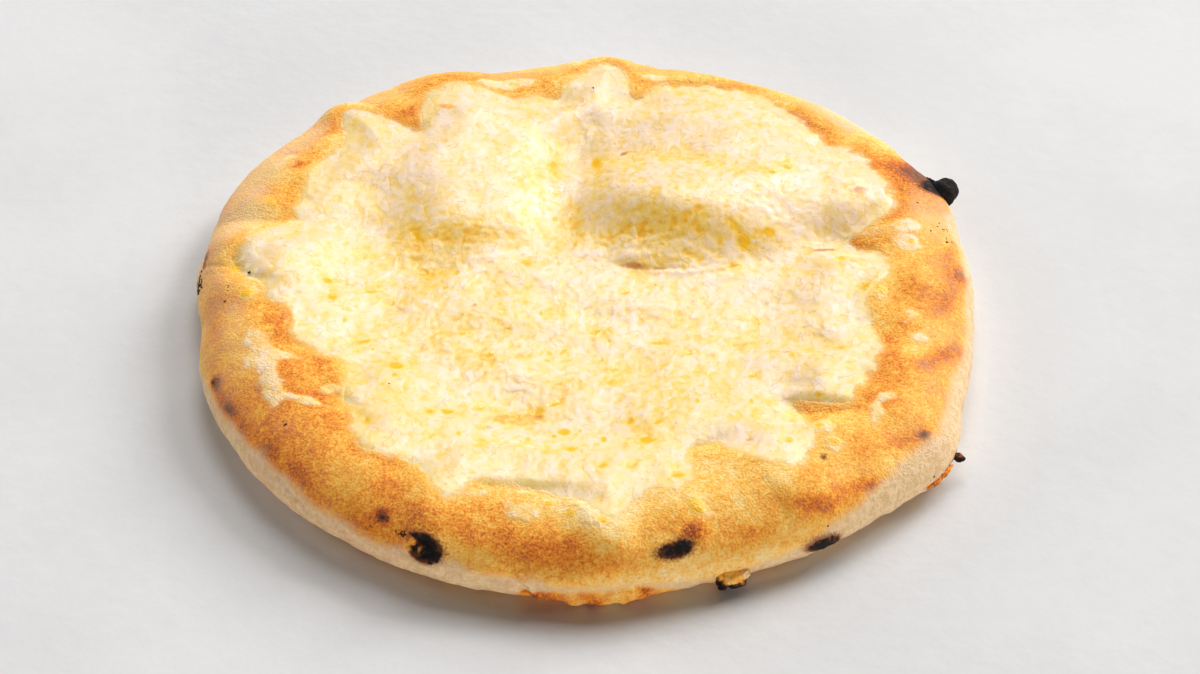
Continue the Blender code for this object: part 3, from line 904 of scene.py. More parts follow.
@dataclass
class CheeseLayer:
    """The melted cheese as a height over plan places: its edge, thickness, shreds, pits and drops."""

    form: LepinjaForm
    thickness: float = 0.0024
    lip: float = 0.00026
    lip_width: float = 0.0020
    slope_width: float = 0.0160
    # How far the thin edge starts inside the crust, and how ragged it is.
    sunk: float = 0.00015
    raggedness: float = 0.00042
    edge_seed: int = 7
    clumps: Waves = Waves(11, 0.0110, 0.030, 0.00010)
    waves_levelled: float = 0.6
    # The rings round a place over which the bread is averaged: radius and how many places.
    levelling_rings: tuple[tuple[float, int], ...] = ((0.0048, 7), (0.0098, 11))
    # Where cheese gathers, at the mounds' feet and on their tops, and where it is thinner: the
    # strength is in millimetres.
    gathered: Ovals = (
        (32, 8, 40, 15, 0, 2.5), (-38, 12, 26, 13, -4, 1.5), (36, 48, 30, 22, 0, 2.25),
        (-40, 46, 22, 18, 0, 0.5), (-92, 11, 15, 13, 0, -1.2), (-97, -3, 12, 7, 0, 0.7),
        (-8, 80, 7, 8, 0, 1.2), (-70, 42, 8, 12, 0, 0.8), (80, 29, 12, 7, 30, 0.9),
        (70, -56, 10, 4, 0, 0.5),
    )
    # The plan maps: half their side, their cells, and where the distance to the edge is measured.
    half_span: float = 0.1190
    cell: float = 0.00035
    coarse_cell: float = 0.0008
    radius_measured: float = 0.052
    far_inside: float = 0.022
    shred_count: int = 7000
    shred_stations: int = 13
    shred_relief: float = 0.00020
    shred_seed: int = 2024
    lump_height: float = 0.00006
    pit_depth: float = 0.00016
    crack_depth: float = 0.00045

    # Where the grated shreds still show, where the cheese is yellow, and where it is toasted. The yellow
    # places also paint warm shade on the mounds' front slopes, along the valley between the mounds and in the
    # dent at (-20, -61).
    shredded: Ovals = (
        (-10, -28, 66, 40, 0, 1), (34, 34, 42, 34, 0, 0.8), (-38, 36, 36, 34, 0, 0.65),
        (-20, -80, 40, 18, 0, 0.4), (40, -60, 40, 26, 0, 0.4), (-80, 10, 26, 40, 0, 0.35),
        (72, 0, 30, 50, 0, 0.35), (20, 84, 70, 20, 0, 0.45),
    )
    # Many of these ovals lie on the mounds' front slopes, in the valley between the mounds and in the dent,
    # and are painted warm shade there; the broad ones are the cheese's own yellow.
    yellow_and_shade_places: Ovals = (
        (-10, -32, 60, 34, 0, 0.16), (-44, -14, 30, 20, 0, 0.1), (-10, 56, 13, 2.4, 90, 0.5),
        (8, 18, 17, 4, 3, 0.34), (27, 17, 15, 3.6, 3, 0.22), (30, 52, 28, 6, -14, 0.2),
        (20, 25, 18, 5, 0, 0.14), (44, 22, 14, 5, 10, 0.2), (22, 9, 16, 5, 0, 0.22),
        (-46, 14, 20, 6, 0, 0.32), (-38, 20, 16, 5, 0, 0.22), (-54, 24, 5, 14, -30, 0.12),
        (60, 15, 20, 4, 15, 0.16), (20, -68, 16, 10, 0, 0.1), (6, -104, 12, 5, 0, 0.12),
        (-20, -61, 10, 3.2, 4, 0.7), (-5, 26, 5, 4.5, 0, 0.44), (4, 52, 6, 9, 0, 0.22),
        (-16, 42, 3, 9, 0, 0.2), (-60, -60, 20, 10, -40, 0.1), (60, -30, 30, 16, 0, 0.05),
        (0, 34, 5, 5, 0, 0.2),
    )
    toasted_places: Ovals = (
        (86, 36, 3.2, 2, 0, 0.8), (74, 13, 5, 0.9, 8, 1), (12, 60, 1.3, 1.6, 20, 1),
        (14.5, 5.4, 4.6, 1.6, -8, 0.95), (23, 4.2, 2.8, 0.8, 0, 0.7), (34, 5.4, 5.5, 0.5, 14, 0.34),
        # (-22, -60) and (-14, -60) brown the dent at (-19, -61): browned cheese there, and painted shade of
        # the dent.
        (7, 16, 1.3, 1, 0, 0.6), (11, 19, 1, 2, 0, 0.4), (-22, -60, 3.6, 0.9, 14, 0.5),
        (-14, -60, 2.6, 1.2, 0, 0.5), (-28, -66, 2.4, 1.2, 0, 0.55), (-30, -92, 4, 1.2, 0, 0.5),
        (39, 95, 4.5, 0.8, 8, 0.6), (8, 85, 4.5, 0.6, 12, 0.6), (-34, -13, 1.6, 1, 30, 0.6),
        (-20, -3, 1.4, 0.9, 0, 0.6), (60, -34, 2, 1, 0, 0.55), (71, -45, 1.6, 0.9, 0, 0.6),
        (66, -23, 3.6, 0.7, 10, 0.55), (-90, 38, 4, 2, 30, 0.5), (33, -7, 0.8, 2.4, 0, 0.55),
        (51, -3, 0.7, 5, 6, 0.45), (-9, -18, 2.2, 0.8, 35, 0.5), (30, 45, 6.5, 0.7, -6, 0.5),
        (12, -6, 0.8, 1.2, 0, 0.5), (47, -76, 1.6, 1, 0, 0.55), (71, 62, 6, 0.8, -60, 0.5),
    )
    fat_drops: Ovals = (
        (57, 18, 2, 1.2, 0, 1.1), (49, 14, 2.1, 1.5, 0, 1.2), (46, 18, 1.8, 1.2, 0, 0.7),
        (46, 5, 2.9, 1.7, 8, 0.9), (52, -19, 1.8, 1.3, 0, 0.8), (45, -29, 1.9, 1.3, 0, 0.9),
        (76, -33, 1.6, 1.3, 0, 0.9), (68, -55, 1.6, 1.3, 0, 0.8), (49, -44, 1.7, 1.1, 0, 0.7),
        (31, -33, 1.6, 1.1, 0, 0.7), (19, -18, 1.5, 1.1, 0, 0.6), (21, -28, 1.6, 1.1, 0, 0.7),
        (18, -73, 2.4, 1.7, 10, 1.4), (13, -86, 2.1, 1.4, 0, 1), (13, -64, 1.7, 1.4, 0, 0.8),
        (21, -66, 1.4, 1.1, 0, 0.8), (-6, -68, 2.2, 1.4, 0, 0.9), (-4, -78, 1.7, 1.1, 0, 0.8),
        (5, -86, 1.8, 1.3, 0, 0.8), (26, -90, 2.3, 1.1, 0, 1.1), (5, -107, 2, 1.2, 0, 0.8),
        (14, -103, 1.8, 1.3, 0, 0.8), (58, -77, 1.7, 1.1, 0, 0.8), (67, -67, 1.6, 1.1, 0, 0.9),
        (65, -77, 1.6, 1.1, 0, 0.9), (84, -7, 1.9, 1.4, -40, 1.2), (90, -7, 1.8, 1.3, 0, 1.1),
        (79, 7, 1.6, 1.3, 0, 0.9), (-69, 11, 1.7, 1.4, 0, 1), (-79, -3, 1.7, 1.3, 0, 0.9),
        (-77, -11, 1.6, 1.2, 0, 0.9), (-66, -5, 2.8, 1.3, 15, 0.9), (-60, -10, 2.4, 1.5, -20, 1.1),
        (-67, -29, 2.5, 1.9, 25, 1.4), (-56, -41, 2.1, 1.3, -10, 1.3), (-63, -67, 1.8, 1.4, 0, 0.7),
        (-44, -73, 1.5, 1.4, 0, 0.8), (-72, -44, 1.3, 1.1, 0, 0.9), (-75, -31, 1, 1, 0, 0.8),
        (-53, 19, 1.3, 2.3, 20, 0.9), (-50, 4, 2.1, 1.3, -35, 1.2), (-54, 9, 1.2, 1.8, 20, 0.7),
        (-28, -20, 1.3, 1.1, 0, 1), (-29, -34, 1.8, 1.3, 0, 1.1), (-17, -34, 1.1, 0.9, 0, 0.7),
        (3, -23, 1.9, 1.6, 0, 1), (-9, -55, 2.1, 1.1, 5, 1.1), (-31, -56, 2.6, 2.3, 0, 0.55),
        (-40, -60, 2, 1.2, 20, 1), (-45, -61, 1.4, 1, 0, 0.8), (8, -46, 2.2, 1.7, 0, 0.65),
        (9, -39, 1.6, 1.4, 0, 0.65), (-8, -46, 2.5, 1.1, 0, 0.8), (-18, 7, 1.4, 1.5, 0, 0.8),
        (64, 47, 1.6, 1.9, 0, 1.3), (59, 43, 1.3, 1.4, 0, 0.9), (54, 34, 0.9, 0.9, 0, 0.8),
        (76, 41, 1.4, 1.2, 0, 1), (3, 58, 1.5, 2.2, 0, 1.1), (12, -6, 1.2, 1.1, 0, 0.8),
        (14, 3, 1.2, 1.2, 0, 0.8), (-14, -58, 2.6, 1, 0, 0.9), (-24, -58, 1.8, 0.9, 0, 0.7),
    )
    small_fat_drops: int = 90
    small_drop_seed: int = 77
    # How much longer and deeper in plan the colour of a drop is than its pit.
    drop_length: float = 0.95
    drop_depth: float = 1.4
    cracks: Ovals = (
        (15, 4.8, 5, 1.2, -8, 0.9), (26, 4, 6, 0.7, -4, 0.4), (38, 5.2, 6, 0.7, 16, 0.3),
        (74, 13, 5.4, 0.9, 8, 0.3),
    )

    def __post_init__(self) -> None:
        """Measures the distance to the edge, scatters the shreds and melts them into the relief."""
        self.depth_map = self._depths()
        self.relief_map, self.tone_map = self._melted(self._scattered())
        self.spots = self._sized(self.fat_drops + self._small_drops(), self.drop_length, self.drop_depth)

    def edge(self, direction: Array) -> Array:
        """The ragged edge of the cheese.

        Args:
            direction: degrees round from +X.

        Returns:
            The smooth outline plus a seeded sum of sines of 15 to 210 waves round, about a millimetre
            in all.
        """
        draw = np.random.default_rng(self.edge_seed)
        angle = np.radians(direction)
        ragged = np.zeros(np.shape(direction))
        for count in draw.integers(15, 210, 26):
            ragged = ragged + np.sin(count * angle + draw.uniform(0, math.tau)) * (50 / (50 + count))
        return self.form.cheese_outline(direction) + self.raggedness * ragged

    def _depths(self) -> Array:
        """A plan map of how far each place lies inside the ragged edge.

        Returns:
            By row and column, the distance to the nearest of the edge's straight pieces, below 0
            outside. It is measured near the rim only, and is the same large value further in.
        """
        side = int(2 * self.half_span / self.coarse_cell) + 1
        step = np.arange(side) * self.coarse_cell - self.half_span
        x, y = (part.ravel() for part in np.meshgrid(step, step))
        direction = np.arange(0, 360, 0.4)
        radius, angle = self.edge(direction), np.radians(direction)
        start = np.stack([radius * np.cos(angle), radius * np.sin(angle)], axis=1)
        along = np.roll(start, -1, axis=0) - start
        squared = (along**2).sum(axis=1)
        nearest = np.full(len(x), self.far_inside)
        for part in np.array_split(np.flatnonzero(np.hypot(x, y) > self.radius_measured), 60):
            off_x, off_y = x[part, None] - start[:, 0], y[part, None] - start[:, 1]
            share = np.clip((off_x * along[:, 0] + off_y * along[:, 1]) / squared, 0, 1)
            off_x, off_y = off_x - share * along[:, 0], off_y - share * along[:, 1]
            nearest[part] = np.minimum(np.sqrt((off_x**2 + off_y**2).min(axis=1)), self.far_inside)
        inside = np.hypot(x, y) < self.edge(direction_of(x, y))
        return np.where(inside, nearest, -nearest).reshape(side, side)

    def _scattered(self) -> Shreds:
        """Shreds dropped at random.

        Returns:
            The shreds: more of them where they show, all at least 3 mm inside the edge, and shorter
            when they lie across the view. Lengths, widths, bends and tones are seeded.
        """
        draw = np.random.default_rng(self.shred_seed)
        tries = self.shred_count * 6
        x, y = draw.uniform(-self.half_span, self.half_span, (2, tries))
        inwards = self.inwards(x, y)
        wanted = 0.22 + 0.78 * np.minimum(self.shown(x, y), 1)
        kept = np.flatnonzero((inwards > 0.003) & (draw.uniform(0, 1, tries) < wanted))[: self.shred_count]
        count = len(kept)
        heading = draw.uniform(0, math.tau, count)
        return Shreds(
            x[kept],
            y[kept],
            heading,
            draw.uniform(0.0018, 0.0074, count) * (0.45 + 0.55 * np.abs(np.sin(heading))),
            draw.uniform(0.0010, 0.0021, count),
            draw.normal(0, 1.4, count),
            draw.uniform(0, 1, count),
        )

    def _small_drops(self) -> Ovals:
        """Small seeded drops of butterfat over the shredded part.

        Returns:
            Their ovals, in a bell about its middle.
        """
        draw = np.random.default_rng(self.small_drop_seed)
        middle = draw.normal((-5, -24), (42, 30), (self.small_fat_drops, 2))
        size = draw.uniform(0.6, 1.4, (self.small_fat_drops, 2))
        strength = draw.uniform(0.45, 0.9, self.small_fat_drops)
        return tuple(
            (float(m[0]), float(m[1]), float(s[0]), float(s[1]), 0.0, float(k))
            for m, s, k in zip(middle, size, strength)
        )

    def _sized(self, ovals: Ovals, length: float, width: float, strength: float = 1.0) -> Ovals:
        """The ovals with their half-lengths, half-widths and strengths multiplied."""
        return tuple((x, y, length * a, width * b, turn, strength * s) for x, y, a, b, turn, s in ovals)

    def shown(self, x: Array, y: Array) -> Array:
        """How much the shreds show at plan places."""
        points = np.stack([np.ravel(x), np.ravel(y), np.zeros(np.size(x))], axis=1)
        return self.form.on_top(points, self.shredded, 3).reshape(np.shape(x))

    def _melted(self, shreds: Shreds) -> tuple[Array, Array]:
        """Stamps each shred on a fine plan map, where they melt together.

        Args:
            shreds: all shreds.

        Returns:
            The map's height, 0 to 1: 1 - exp(-1.2 s), s being the sum of the shreds' rounded tops,
            (1 - d^2)^2 across and tapered at the ends; and the mean tone of the shreds there.
        """
        side, stations = int(2 * self.half_span / self.cell), self.shred_stations
        x, y = shreds.path(stations)
        reach = 0.75 * shreds.width[:, None]
        share = shreds.length[:, None] / (stations - 1) / (1.07 * reach)
        weight = share * np.clip(1.2 - np.abs(np.linspace(-1.2, 1.2, stations)) ** 4, 0, 1)
        column, row = (x + self.half_span) / self.cell, (y + self.half_span) / self.cell
        total, toned = np.zeros(side * side), np.zeros(side * side)
        for off_row, off_column in np.ndindex(9, 9):
            at_column = np.clip(np.round(column).astype(int) + off_column - 4, 0, side - 1)
            at_row = np.clip(np.round(row).astype(int) + off_row - 4, 0, side - 1)
            far = np.hypot(at_column - column, at_row - row) * self.cell / reach
            value = (weight * np.clip(1 - far**2, 0, 1) ** 2).ravel()
            cell = (at_row * side + at_column).ravel()
            total += np.bincount(cell, value, side * side)
            toned += np.bincount(cell, value * np.repeat(shreds.tone, stations), side * side)
        tone = (toned + 0.05) / (total + 0.10)
        return (1 - np.exp(-1.2 * total)).reshape(side, side), tone.reshape(side, side)

    def sampled(self, picture: Array, cell: float, x: Array, y: Array) -> Array:
        """A map's value at plan places.

        Args:
            picture: the map, by row along Y and column along X.
            cell: the side of its cells, in metres.
            x: places along X.
            y: places along Y.

        Returns:
            The value, blended between the four nearest cells.
        """
        column = np.clip((x + self.half_span) / cell, 0, picture.shape[1] - 1.001)
        row = np.clip((y + self.half_span) / cell, 0, picture.shape[0] - 1.001)
        left, low = column.astype(int), row.astype(int)
        across, up = column - left, row - low
        lower = picture[low, left] * (1 - across) + picture[low, left + 1] * across
        upper = picture[low + 1, left] * (1 - across) + picture[low + 1, left + 1] * across
        return lower * (1 - up) + upper * up

    def inwards(self, x: Array, y: Array) -> Array:
        """How far plan places lie inside the cheese's ragged edge, below 0 outside."""
        return self.sampled(self.depth_map, self.coarse_cell, x, y)

    def filling(self, x: Array, y: Array) -> Array:
        """How much cheese gathers at plan places by levelling the bread under it.

        Args:
            x: places along X.
            y: places along Y.

        Returns:
            The bread's top, averaged over two rings round each place, less the top there, so above 0
            in hollows and below 0 on crests.
        """
        around = np.zeros_like(x)
        for ring, count in self.levelling_rings:
            for angle in np.arange(count) * math.tau / count:
                around += self.form.top(x + ring * math.cos(angle), y + ring * math.sin(angle))
        return around / sum(count for _, count in self.levelling_rings) - self.form.top(x, y)

    def top(self, x: Array, y: Array) -> Array:
        """The height of the cheese's upper face.

        Args:
            x: places along X.
            y: places along Y.

        Returns:
            The bread's top, plus a rounded lip, lip * (1 - exp(-inwards / lip width)), plus the slow
            rise to the full thickness with its clumps, plus what fills hollows, levels waves and
            gathers in places; then the melted shreds, less a pit at each drop and the cracks.
        """
        inside = np.maximum(self.inwards(x, y), 0)
        body = smooth_step(inside, 0, self.slope_width)
        points = np.stack([x, y, np.zeros_like(x)], axis=1)
        height = self.form.top(x, y) - self.sunk
        height += (self.lip + self.sunk) * (1 - np.exp(-inside / self.lip_width))
        height += body * (self.thickness - self.lip + self.clumps.at(x, y))
        height -= self.waves_levelled * body * self.form.crust_waves.at(x, y)
        gathered = self.filling(x, y) + MILLIMETRE * self.form.on_top(points, self.gathered)
        height += smooth_step(inside, 0, 0.5 * self.slope_width) * gathered
        shown = 0.30 + 0.70 * np.minimum(self.shown(x, y), 1)
        fine = shown * self.shred_relief * self.sampled(self.relief_map, self.cell, x, y)
        fine += self.lump_height * Lumps(101, 0.0060, 2).at(points)
        fine -= self.pit_depth * np.minimum(self.form.on_top(points, self.fat_drops), 1)
        fine -= self.crack_depth * np.minimum(self.form.on_top(points, self.cracks), 1)
        return height + smooth_step(inside, 0.0005, 0.0040) * fine

    def cheese_yellow_and_shade(self, points: Array) -> Array:
        """How yellow the cheese is, with warm shade painted in as yellow.

        Args:
            points: rows of x, y and z.

        Returns:
            Its yellow places, many of which paint warm shade on the mounds' fronts, in the valley and in the
            dent; a halo round each drop;
            more yellow in the hollows between the melted shreds' tops, partly the cheese's own colour and
            partly painted warm shade, and where their tone is; and low unevenness.
        """
        x, y = points[:, 0], points[:, 1]
        relief = self.sampled(self.relief_map, self.cell, x, y)
        tone = self.sampled(self.tone_map, self.cell, x, y)
        seen = 0.35 + 0.65 * np.minimum(self.shown(x, y), 1)
        yellow = 0.25 + self.form.on_top(points, self.yellow_and_shade_places)
        # Yellower where the shreds' relief is low: partly the melted cheese's own colour, partly painted warm
        # shade in the hollows between shreds.
        yellow += seen * (0.44 * (0.62 - relief) + 0.30 * (tone - 0.5))
        halos = self._sized(self.fat_drops, 1.9, 1.9, 0.26)
        return yellow + self.form.on_top(points, halos) + 0.12 * Lumps(111, 0.012, 3).at(points)


# ---- The skin's map ----------------------------------------------------------------------------


def bare_skin(count: int, **given: Array | float) -> dict[str, Array]:
    """What the finishes read where there is no cheese.

    Args:
        count: how many points there are.
        given: values that are not 0, for each point or for all.

    Returns:
        All the named values, for each point.
    """
    values = {name: np.zeros(count) for name in ("toast", "flour", "char", "yellow", "butterfat", "toasted")}
    values["cover"] = np.full(count, NO_CHEESE)
    return values | {name: np.zeros(count) + value for name, value in given.items()}


@dataclass
class SkinMap:
    """Where the skin is brown, floury or burnt, and where cheese lies on it, by place."""

    form: LepinjaForm
    layer: CheeseLayer
    cover_width: float = 0.0048
    # How strong the brown places are on the top and on the rim, and the toasted lower side.
    top_browning: float = 0.95
    rim_browning: float = 0.85
    foot_browning: float = 0.42

    # Browning of the outer band of the crust, and of the crust inside it, by direction.
    band: Levels = (
        (0, 0.46), (14, 0.36), (26, 0.54), (36, 0.36), (50, 0.38), (70, 0.38), (95, 0.38), (120, 0.4),
        (140, 0.38), (160, 0.36), (178, 0.39), (200, 0.47), (215, 0.53), (230, 0.54), (246, 0.52),
        (258, 0.49), (268, 0.45), (277, 0.4), (286, 0.39), (300, 0.34), (312, 0.38), (326, 0.43),
        (340, 0.42), (350, 0.42),
    )
    inner: Levels = (
        (0, 0.44), (20, 0.42), (45, 0.44), (80, 0.36), (110, 0.4), (126, 0.46), (150, 0.32), (180, 0.34),
        (205, 0.43), (220, 0.45), (250, 0.38), (272, 0.19), (293, 0.32), (320, 0.4), (345, 0.44),
    )
    # The drop where the pale floury side starts, and how dusty the band above it is, by direction.
    flour_start: Levels = (
        (0, 60), (15, 46), (25, 70), (38, 28), (48, 34), (60, 52), (90, 60), (120, 64), (150, 66),
        (170, 84), (195, 84), (211, 62), (220, 58), (235, 66), (252, 70), (261, 79), (272, 86), (280, 92),
        (288, 104), (297, 90), (305, 68), (313, 54), (326, 46), (343, 53), (355, 56),
    )
    dusty: Levels = (
        (0, 0.28), (8, 0.3), (15, 0.62), (22, 0.34), (30, 0.14), (37, 0.24), (42, 0.78), (48, 0.62),
        (60, 0.4), (80, 0.36), (120, 0.44), (140, 0.58), (160, 0.64), (174, 0.58), (182, 0.46), (195, 0.4),
        (208, 0.3), (222, 0.18), (245, 0.1), (300, 0.16), (330, 0.3), (345, 0.3),
    )
    # How toasted the lower side is, and the drop where that starts, by direction.
    foot_toast: Levels = (
        (0, 0.2, 140), (60, 0.3, 140), (150, 0.3, 140), (220, 0.35, 134), (250, 0.5, 130), (260, 0.5, 126),
        (263, 1, 100), (270, 1, 95), (277, 1, 94), (280, 0.7, 106), (284, 0.3, 122), (287, 0.4, 126),
        (294, 0.5, 128), (310, 0.3, 134), (330, 0.3, 134), (345, 0.2, 138),
    )
    brown_on_top: Ovals = (
        (-53, 83, 3, 2, 30, 0.2), (-55, 82, 9, 5, 30, 0.1), (-62, 79, 6, 4, 30, 0.08),
        (-83, 73, 6, 2.4, 35, 0.18), (-92, 54, 3.4, 2.4, 20, 0.34), (-96, 62, 2.4, 1.8, 20, 0.26),
        (-9, 108, 20, 5, 0, 0.1), (18, 101, 6, 4, 0, 0.16), (34, 97, 10, 4, -18, 0.1),
        (74, 71, 11, 6, -55, 0.2), (70, 78, 5, 2, -50, 0.2), (72, 66, 6, 1.5, -55, 0.4),
        (88, 48, 10, 7, -40, 0.2), (103, 49, 9, 4.5, -48, 0.3), (102, -8, 9, 8, 0, 0.06),
        (-94, -22, 9, 6, 80, 0.05), (-90, -26, 5, 7, 20, 0.03), (-86, -42, 7, 10, 40, 0.05),
        (-80, -58, 12, 5, -30, 0.1), (34, -81, 6, 4, 10, 0.1), (85, -58, 8, 7, 0, 0.06),
        (90, -36, 9, 6, 80, 0.1), (101, 18, 2.6, 1.6, 0, 0.3), (85, 36, 4, 2.6, 10, 0.3),
        (95, -23, 4, 3, 0, 0.18),
    )
    brown_on_rim: Ovals = (
        (161, 70, 7, 3, 0, 0.16), (173, 50, 7, 5, 0, 0.22), (1.5, 51, 6, 4, 60, 0.34),
        (6.8, 44, 7, 3, 30, 0.2), (355, 37, 8, 3.5, 25, 0.24), (342.8, 40, 7, 3, 35, 0.32),
        (339, 28, 7, 3.4, 25, 0.28), (331, 38, 10, 4, 30, 0.14), (324.5, 42, 1.9, 1.6, 0, 0.55),
        (321.5, 35, 8, 3, 20, 0.26), (312.5, 58, 2.6, 1.6, 0, 0.34), (311.2, 49, 6.5, 2.6, 25, 0.34),
        (308.8, 52, 6, 3, 20, 0.22), (303.2, 45, 9, 3, 20, 0.3), (293, 54, 7, 3.8, 10, 0.22),
        (285.4, 43, 3.6, 2.4, 0, 0.42), (201.8, 62, 3, 2.2, 0, 0.6), (204.8, 64, 5, 2.6, 20, 0.32),
        (208.2, 62, 3.6, 2.2, 0, 0.46), (212.5, 60, 6, 3, 0, 0.22), (184.5, 34, 4, 7, 0, 0.18),
        (191.2, 50, 9, 4, 0, 0.18), (219.8, 56, 5, 3, 0, 0.22), (226.2, 52, 9, 4, 10, 0.18),
        (241, 48, 2.4, 1.8, 0, 0.5), (266, 47, 9, 4.5, 0, 0.18), (257, 40, 8, 4, 0, 0.1),
        (272, 58, 10, 4, 0, 0.1), (284.5, 34, 7, 3, 25, 0.12), (18, 58, 6, 4, 0, 0.14),
        (24, 46, 8, 6, 20, 0.32), (290, 136, 6, 2.4, 0, 0.5), (324.6, 104, 8, 1.6, 0, 0.5),
        (232, 92, 3, 2, 0, 0.16), (303, 92, 8, 4, 12, 0.3),
    )
    charred: Ovals = (
        (248.4, 60, 5.4, 3.7, 8, 1), (246.7, 58, 1.5, 1.1, 30, -0.95), (247.9, 63, 1.1, 1.7, 0, -0.9),
        (245.6, 66, 2.6, 2, 20, -0.45), (247.8, 64, 7.2, 5.4, 8, 0.26), (282.2, 57, 4.8, 2.1, 0, 0.58),
        (282.3, 56, 7, 3.4, 0, 0.3), (284.4, 47, 4.8, 2.6, 0, 0.26), (303.2, 99, 5.6, 2.5, 12, 0.85),
        (303.2, 98, 8, 3.6, 12, 0.2), (22.6, 64, 4.6, 5, 0, 1.1), (27.8, 56, 7, 3.2, 0, 0.52),
        (26.6, 34, 6, 2.4, 25, 0.3), (22, 42, 3.4, 5, 0, 0.62), (20.6, 52, 2.4, 4, 0, 0.4),
        (328.2, 104, 2.4, 2, 0, 0.9), (173.5, 60, 4.2, 2.6, 0, 0.42), (161, 76, 3, 0.9, 0, 0.5),
        (201.6, 63, 1.5, 1.1, 0, 0.6), (241, 48, 1.4, 1.1, 0, 0.6), (309.2, 8, 1.5, 1.2, 0, 0.5),
        (312.5, 58, 2, 1, 25, 0.16), (285.4, 36, 2.2, 1.6, 0, 0.18),
    )
    # Islands of melted cheese on the crust, drops of butterfat on it, and places where cheese is thin.
    films: Ovals = (
        (-97, -37, 10, 5.4, 100, 0.86), (-100, -31, 5, 3, 100, 0.6), (-93, -43, 5, 3, 60, 0.7),
        (-87, -40, 5.6, 2.6, -20, 1.1), (-91, -53, 7, 3.4, 100, 1.2), (-81, -59, 9, 2.2, -25, 1.1),
        (-74, -53, 3.6, 3, 0, 1.1), (-30, 99, 9, 3.8, 5, 1.2), (-22, 101, 7, 3.2, 20, 1),
        (24, 103, 6.6, 3, 0, 1.1), (101, 22, 4.6, 4.2, 0, 1.1), (100, 13, 4.6, 4.4, 0, 1.2),
        (91, 19, 7, 5, 0, 1), (86, -9, 7, 6.4, 0, 1.1), (98, -19, 4.4, 3.6, 80, 0.95),
        (100, -29, 4, 3, 0, 1), (88, -56, 4.4, 3.4, 40, 0.85), (84, -64, 3.4, 6, 0, 0.8),
        (67, -70, 5.4, 4.2, 0, 1.1), (71, -78, 5.4, 3.6, -30, 1.1), (-17, -103, 4.6, 4, 0, 1.4),
        (-30, -96, 8, 3.2, -10, 0.75), (-103, -12, 3.6, 3.6, 0, 0.9), (-98, 56, 8, 3.2, 60, 0.8),
        (-104, 22, 7, 3.2, 80, 0.8), (31, -101, 5.4, 4.2, -60, 1), (-60, 86, 8, 3.6, 30, 1),
        (3, -108, 7, 3, 0, 0.82),
    )
    thin: Ovals = (
        (-91, -22, 5.5, 6, 20, 0.8), (-84, -37, 5, 5, 0, 0.3), (-70, -64, 9, 4, 30, 0.25),
        (90, 17, 8, 4, 0, 0.3), (35, -81, 6.4, 4.6, 10, 0.85), (44, -86, 9, 2.6, 5, 0.5),
        (62, -68, 8, 4, -50, 0.3), (-28, -92, 6, 2.6, 0, 0.5), (86, 34, 6, 3.6, 20, 0.5),
        (-62, 84, 8, 5, 30, 0.3), (-96, 44, 6, 7, 0, 0.3), (-46, 82, 5, 1.6, -25, 0.75),
        (75, 70, 7, 5, -50, 0.35), (20, -86, 5, 3, 0, 0.3),
    )
    drops: Ovals = (
        (31, -102, 2.8, 2.2, -60, 1.1), (-10, -100, 1.3, 1.1, 0, 1), (-4, -104, 1.4, 1.2, 0, 1),
        (5, -108, 1.6, 1.3, 0, 0.9), (67, -70, 1.6, 1.1, 0, 0.9), (71, -77, 1.8, 1.2, -20, 1),
        (101, 14, 1.5, 1.1, 0, 1), (85, -7, 2, 1.4, -50, 1.1), (90, -9, 1.9, 1.4, 0, 0.9),
        (-103, -11, 2.1, 1.9, 0, 1.1), (-108, 4, 1.9, 1.6, 90, 1.1), (-100, 35, 1.6, 1.3, 0, 1),
        (-95, -28, 2, 1, 0, 0.6),
    )

    def level(self, table: Levels, direction: Array, column: int = 1) -> Array:
        """A table's value at directions, straight between its entries."""
        entries = np.array(table)
        return np.interp(direction, entries[:, 0], entries[:, column], period=360)

    def inside_drop(self, x: Array, y: Array) -> Array:
        """The drop of places on the top: millimetres outside the crest, so below 0."""
        return (np.hypot(x, y) - self.form.crest(direction_of(x, y))) / MILLIMETRE

    def underneath(self, drop: Array) -> Array:
        """How far round to the base a drop is, 0 on the side and 1 at the foot."""
        return smooth_step(drop, 150, 190)

    def footing(self, direction: Array, drop: Array) -> Array:
        """How toasted the lower side is."""
        start = self.level(self.foot_toast, direction, 2)
        return self.level(self.foot_toast, direction) * smooth_step(drop, start - 5, start + 9)

    def toasting(self, points: Array, direction: Array, drop: Array) -> Array:
        """How brown the skin is baked, from 0, pale, to 1, nearly black.

        Args:
            points: rows of x, y and z.
            direction: each point's direction.
            drop: each point's drop.

        Returns:
            The inner crust's level, turning into the outer band's between drops of -4 and 42 and paler
            down the side, with single brown places, a toasted lower side and low unevenness. The base
            has broad darker patches.
        """
        inner, band = self.level(self.inner, direction), self.level(self.band, direction)
        toast = inner + (band - inner) * smooth_step(drop, -4, 42)
        toast += self.top_browning * self.form.on_top(points, self.brown_on_top) * (drop < BELLY)
        toast += self.rim_browning * self.form.on_rim(points, self.brown_on_rim)
        toast += 0.12 * Lumps(61, 0.012, 3).at(points) - 0.14 * smooth_step(drop, 50, 98)
        patchy = 0.66 + 0.75 * Lumps(65, 0.005, 2).at(points * (1, 1, 0.5))
        toast += self.foot_browning * self.footing(direction, drop) * patchy
        base = 0.30 + 0.42 * smooth_step(Lumps(71, 0.030, 4).at(points), -0.1, 0.9)
        return toast + self.underneath(drop) * (base - toast)

